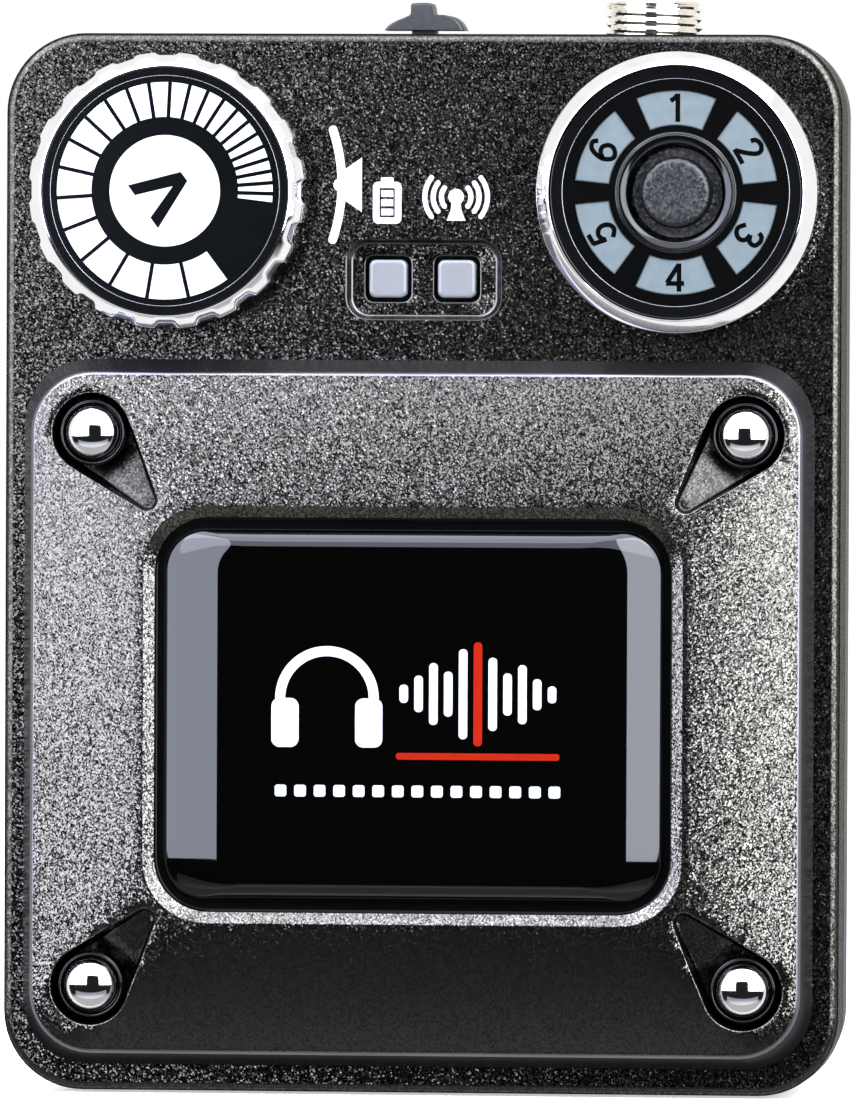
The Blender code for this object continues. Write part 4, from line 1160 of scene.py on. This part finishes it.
def threaded_barrel():
    low, high = span("jack_barrel")
    at = ((low.x + high.x) / 2, (low.z + high.z) / 2)
    top, bottom, radius = high.y, low.y, (high.x - low.x) / 2
    pitch, depth, sides = 0.62, 0.30, 72
    shape = ((0.0, 0.0), (0.12, 0.0), (0.5, depth), (0.62, depth))
    bm = bmesh.new()
    rows = []
    for turn in range(int((top - bottom) / pitch) + 2):
        for share, cut in shape:
            ring = upright_ring(radius - cut, at, 0.0, sides)
            for i, point in enumerate(ring):
                v = bottom + pitch * (turn - 1 + share + i / sides)
                point.y = min(max(v, bottom), top - 0.12)
            rows.append(ring)
    grid = [[bm.verts.new(p) for p in row] for row in rows]
    for j in range(len(grid) - 1):
        for i in range(sides):
            k = (i + 1) % sides
            up = j if k else j + len(shape)
            if up + 1 < len(grid):
                bm.faces.new((grid[j][i], grid[up][k], grid[up + 1][k], grid[j + 1][i]))
    bore, root = 1.85, radius - depth
    end = ((root, top - 0.12), (root - 0.05, top), (bore + 0.25, top), (bore, top - 0.25), (bore, bottom),
           (root, bottom))
    loft(bm, [upright_ring(r, at, v, sides) for r, v in end])
    bmesh.ops.remove_doubles(bm, verts=bm.verts, dist=1e-3)
    flat = [f for f in bm.faces if f.calc_area() < 1e-7]
    bmesh.ops.delete(bm, geom=flat, context="FACES")
    piece("jack_thread", bm, [nickel], "case", ["jack_barrel"], sharp=35)


def smooth_line(points, steps=5):
    """A Catmull-Rom curve through the points."""
    line = []
    for i in range(len(points) - 1):
        p0 = Vector(points[max(i - 1, 0)])
        p1, p2 = Vector(points[i]), Vector(points[i + 1])
        p3 = Vector(points[min(i + 2, len(points) - 1)])
        for k in range(steps):
            t = k / steps
            line.append(
                0.5 * (2 * p1 + (p2 - p0) * t + (2 * p0 - 5 * p1 + 4 * p2 - p3) * t ** 2
                       + (3 * p1 - p0 - 3 * p2 + p3) * t ** 3)
            )
    line.append(Vector(points[-1]))
    return line


def power_slider():
    cap_height, half, stretch = 1.98, 1.7, 1.12
    base = span("power_slider")[1].y - cap_height
    at = middle("power_slider")
    u0 = at.x - 0.1
    outline = []
    for points in (
        [(-2.8, 0.0), (-2.45, 0.34), (-1.9, 0.62), (-1.35, 0.82), (-1.0, 0.98), (-0.9, 1.15), (-0.9, 1.55)],
        [(-0.9, 1.58), (-0.82, 1.70), (-0.68, 1.74), (0.0, 1.77), (0.45, 1.75), (0.60, 1.66), (0.68, 1.4)],
        [(0.69, 1.38), (0.74, 1.12), (0.95, 1.02), (1.6, 0.98), (2.2, 0.84), (2.6, 0.58), (2.85, 0.28),
         (3.0, 0.0)],
    ):
        outline += [(u0 + u, base + v * stretch) for u, v in smooth_line(points)]
    bm = bmesh.new()
    rings = []
    middle_of = Vector((u0, base + 0.35))
    for w, shrink in ((-half, 0.90), (-half + 0.07, 0.96), (-half + 0.22, 1.0), (half - 0.22, 1.0),
                      (half - 0.07, 0.96), (half, 0.90)):
        ring = []
        for p in outline:
            q = middle_of + (Vector(p) - middle_of) * shrink
            ring.append(Vector((q.x, max(q.y, base), at.z + w)))
        rings.append(ring)
    solid(bm, rings)
    top = base - 0.3
    for half_u, half_w, v0, v1 in ((0.9, 0.8, top - 1.5, base + 0.3), (2.6, 1.7, top - 2.5, top - 2.1)):
        rounded_box(bm, (u0 - half_u, v0, at.z - half_w), (u0 + half_u, v1, at.z + half_w), 0.15, 1)
    piece("slider_cap", bm, [slider_grey], "power_slider", ["power_slider"], sharp=45)


def side_ring(half, corner, at, u, arc=8):
    """A rounded rectangle in the v, w plane."""
    return [Vector((u, p.x, p.y)) for p in rounded_ring(half, corner, (at.y, at.z), 0.0, arc)]


def charging_port():
    low, high = span("usb_port")
    at = (low + high) / 2
    half = ((high.y - low.y) / 2, (high.z - low.z) / 2)
    mouth, end, skin = low.x, high.x, 0.35

    def shell(inset, u):
        return side_ring((half[0] - inset, half[1] - inset), half[1] - inset - 0.02, at, u)

    rings = [shell(0.0, end), shell(0.0, mouth + 0.1), shell(0.08, mouth), shell(skin - 0.1, mouth),
             shell(skin, mouth + 0.1), shell(skin, end - skin)]
    closed_piece("port_shell", rings, port_steel, "case", ["usb_port"], 50)
    tongue_low, tongue_high = span("usb_tongue")
    tongue = (tongue_low + tongue_high) / 2
    reach = ((tongue_high.y - tongue_low.y) / 2, (tongue_high.z - tongue_low.z) / 2)
    steps = ((0.12, tongue_low.x), (0.0, tongue_low.x + 0.12), (0.0, tongue_high.x))
    rings = [side_ring((reach[0] - s, reach[1] - s), 0.15, tongue, u, 4) for s, u in steps]
    closed_piece("port_tongue", rings, black_plastic, "case", ["usb_tongue"], 50)
    bm = bmesh.new()
    for side in (-1, 1):
        for k in range(6):
            v = tongue.y - 2.5 + k
            w = tongue.z + side * reach[1]
            low, high = (tongue_low.x + 0.35, v - 0.22, w - 0.04), (tongue_low.x + 3.6, v + 0.22, w + 0.04)
            rounded_box(bm, low, high, 0.03)
    piece("port_contacts", bm, [contact_gold], "case", sharp=50)


def belt_clip():
    softened("clip_lever", "clip_arm", clip_black, "clip_lever", 0.25, 3, 1.0)
    softened("clip_bracket", "clip_mount", clip_black, "case", 0.15, 2)
    softened("clip_pin", "clip_axle", steel, "case", 0.12, 2)


def torsion_spring():
    """The coil stays on the pin with one leg on the bracket. The other leg turns with the lever."""
    pin = middle("clip_pin")
    coil, half_length, wire = 1.6, 3.0, 0.25
    windings, count = 4.5, 108
    points = [Vector((-half_length, pin.y + 3.4, pin.z + coil))]
    for i in range(count + 1):
        a = math.pi / 2 + 2 * math.pi * windings * i / count
        p = polar((pin.y, pin.z), coil, a, half_length * (2 * i / count - 1))
        points.append(Vector((p.z, p.x, p.y)))
    bm = bmesh.new()
    round_wire(bm, points, wire)
    piece("spring_coil", bm, [spring_steel], "case", ["clip_spring"], sharp=60)
    foot, tip = points[-1], Vector((half_length, pin.y + 5.5, pin.z - coil))
    bm = bmesh.new()
    round_wire(bm, [foot.lerp(tip, k / 6) for k in range(7)], wire)
    piece("spring_leg", bm, [spring_steel], "clip_lever", sharp=60)


def inner_pieces():
    """The sealed inner pieces keep their CAD shape and get a finish each."""
    lights = "channel_led_1 channel_led_2 channel_led_3 channel_led_4 channel_led_5 channel_led_6"
    for finish, names in (
        (ceramic, f"antenna battery_plug status_led_1 status_led_2 {lights}"),
        (steel, "potentiometer volume_shaft tact_switch board_screw_1 board_screw_2"),
        (black_plastic, "headphone_jack power_switch"),
        (chip_black, "audio_chip radio_chip"),
        (foil, "radio_shield battery_cell"),
        (foam, "battery_pad"),
        (wire_red, "battery_lead_red"),
        (wire_black, "battery_lead_black"),
        (board_green, "main_board"),
        (nickel, "potentiometer_nut"),
    ):
        for name in names.split():
            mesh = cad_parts[name].data
            mesh.materials.clear()
            mesh.materials.append(finish)


# ---------------------------------------------------------------- stage

FIELD_WIDTH = 0.0783  # metres across the frame at the object


def camera():
    aim = Vector((0.78, -12.6, 38.90)) * MM
    azimuth, elevation, roll, distance = math.radians(6.0), math.radians(1.0), math.radians(0.25), 1.0
    back = Vector((
        math.sin(azimuth) * math.cos(elevation),
        -math.cos(azimuth) * math.cos(elevation),
        math.sin(elevation),
    ))
    data = bpy.data.cameras.new("camera")
    data.sensor_width = 36.0
    data.lens = data.sensor_width * distance / FIELD_WIDTH
    data.clip_start, data.clip_end = 0.01, 20.0
    holder = placed("camera", data)
    holder.location = aim + back * distance
    level = (-back).to_track_quat("-Z", "Y")
    holder.rotation_euler = (level @ Quaternion((0.0, 0.0, 1.0), roll)).to_euler()
    bpy.context.scene.camera = holder


def studio():
    """Bright behind the object (+Y), dark on the camera's side, grey below, and white to the eye."""
    world = bpy.data.worlds.new("studio")
    world.use_nodes = True
    bpy.context.scene.world = world
    tree = world.node_tree
    background = tree.nodes["Background"]
    background.inputs["Color"].default_value = (1.0, 1.0, 1.0, 1.0)
    place = add_node(tree, "ShaderNodeTexCoord").outputs["Generated"]
    parts = add_node(tree, "ShaderNodeSeparateXYZ", {0: place})

    def between(axis, start, end, first, last):
        values = {"From Min": start, "From Max": end, "To Min": first, "To Max": last}
        values["Value"] = parts.outputs[axis]
        return add_node(tree, "ShaderNodeMapRange", values).outputs["Result"]

    values = {0: between("Y", -0.36, -0.24, 0.015, 1.0), 1: between("Z", -0.40, -0.55, 0.0, 0.5)}
    both = add_node(tree, "ShaderNodeMath", values, operation="MAXIMUM").outputs[0]
    sight = add_node(tree, "ShaderNodeLightPath").outputs["Is Camera Ray"]
    pick = add_node(tree, "ShaderNodeMix", {"Factor": sight, "A": both, "B": 1.0}, data_type="FLOAT")
    tree.links.new(pick.outputs["Result"], background.inputs["Strength"])


def softbox(name, place, aim, size, radiance, colour):
    light = bpy.data.lights.new(f"softbox_{name}", "AREA")
    light.shape = "RECTANGLE"
    light.size, light.size_y = size[0] * MM, size[1] * MM
    light.energy = radiance * math.pi * light.size * light.size_y
    light.color = colour
    obj = placed(f"softbox_{name}", light)
    obj.location = Vector(place) * MM
    towards = Vector(aim) * MM - obj.location
    obj.rotation_euler = towards.to_track_quat("-Z", "Y").to_euler()
    obj.visible_camera = False


def softboxes():
    """One upright box on each side of the camera and three wide ones, given by their elevations."""
    bottom, tall, reach = 1.0, 420.0, 290.0
    height = bottom + tall / 2
    for name, angle, radiance, colour in (
        ("left", -43.5, 7.3, (0.76, 0.81, 1.0)),
        ("right", 43.5, 9.2, (0.84, 0.90, 1.0)),
    ):
        turn = math.radians(angle)
        place = (math.sin(turn) * reach, -10.0 - math.cos(turn) * reach, height)
        softbox(name, place, (0.0, -10.0, height), (302.0, tall), radiance, colour)
    reach, aim = 480.0, (0.0, -10.0, 38.0)
    for name, low, high, radiance in (
        ("top_fill", -42.0, -24.0, 0.38),
        ("top_low", 18.5, 45.0, 3.5),
        ("top_high", 46.0, 86.0, 7.5),
    ):
        rise, spread = math.radians((low + high) / 2), math.radians((high - low) / 2)
        place = (0.0, aim[1] - math.cos(rise) * reach, aim[2] + math.sin(rise) * reach)
        softbox(name, place, aim, (860.0, 2 * reach * math.tan(spread)), radiance, (0.80, 0.84, 1.0))


def white_floor():
    """A white floor that only the camera sees."""
    bm = bmesh.new()
    bmesh.ops.create_circle(bm, cap_ends=True, segments=96, radius=1.6)
    mesh = mesh_of("floor", bm)
    paint = cloudy("floor_white", (0.90, 0.90, 0.90), 0.7, 0.0, 300.0, 0.01, Emission_Strength=0.5)
    paint.node_tree.nodes["Principled BSDF"].inputs["Emission Color"].default_value = (1.0, 1.0, 1.0, 1.0)
    mesh.materials.append(paint)
    obj = placed("floor", mesh)
    obj.location.z = -0.0002
    obj.visible_diffuse = obj.visible_glossy = obj.visible_shadow = False


def stage():
    view = bpy.context.scene.view_settings
    view.view_transform, view.look = "Standard", "None"
    camera()
    studio()
    softboxes()
    white_floor()


stage()
front_case()
rear_case()
plate()
badge()
plate_screws()
back_screws()
volume_knob()
channel_dial()
channel_button()
status_lenses()
printed_signs()
threaded_barrel()
power_slider()
charging_port()
belt_clip()
torsion_spring()
inner_pieces()
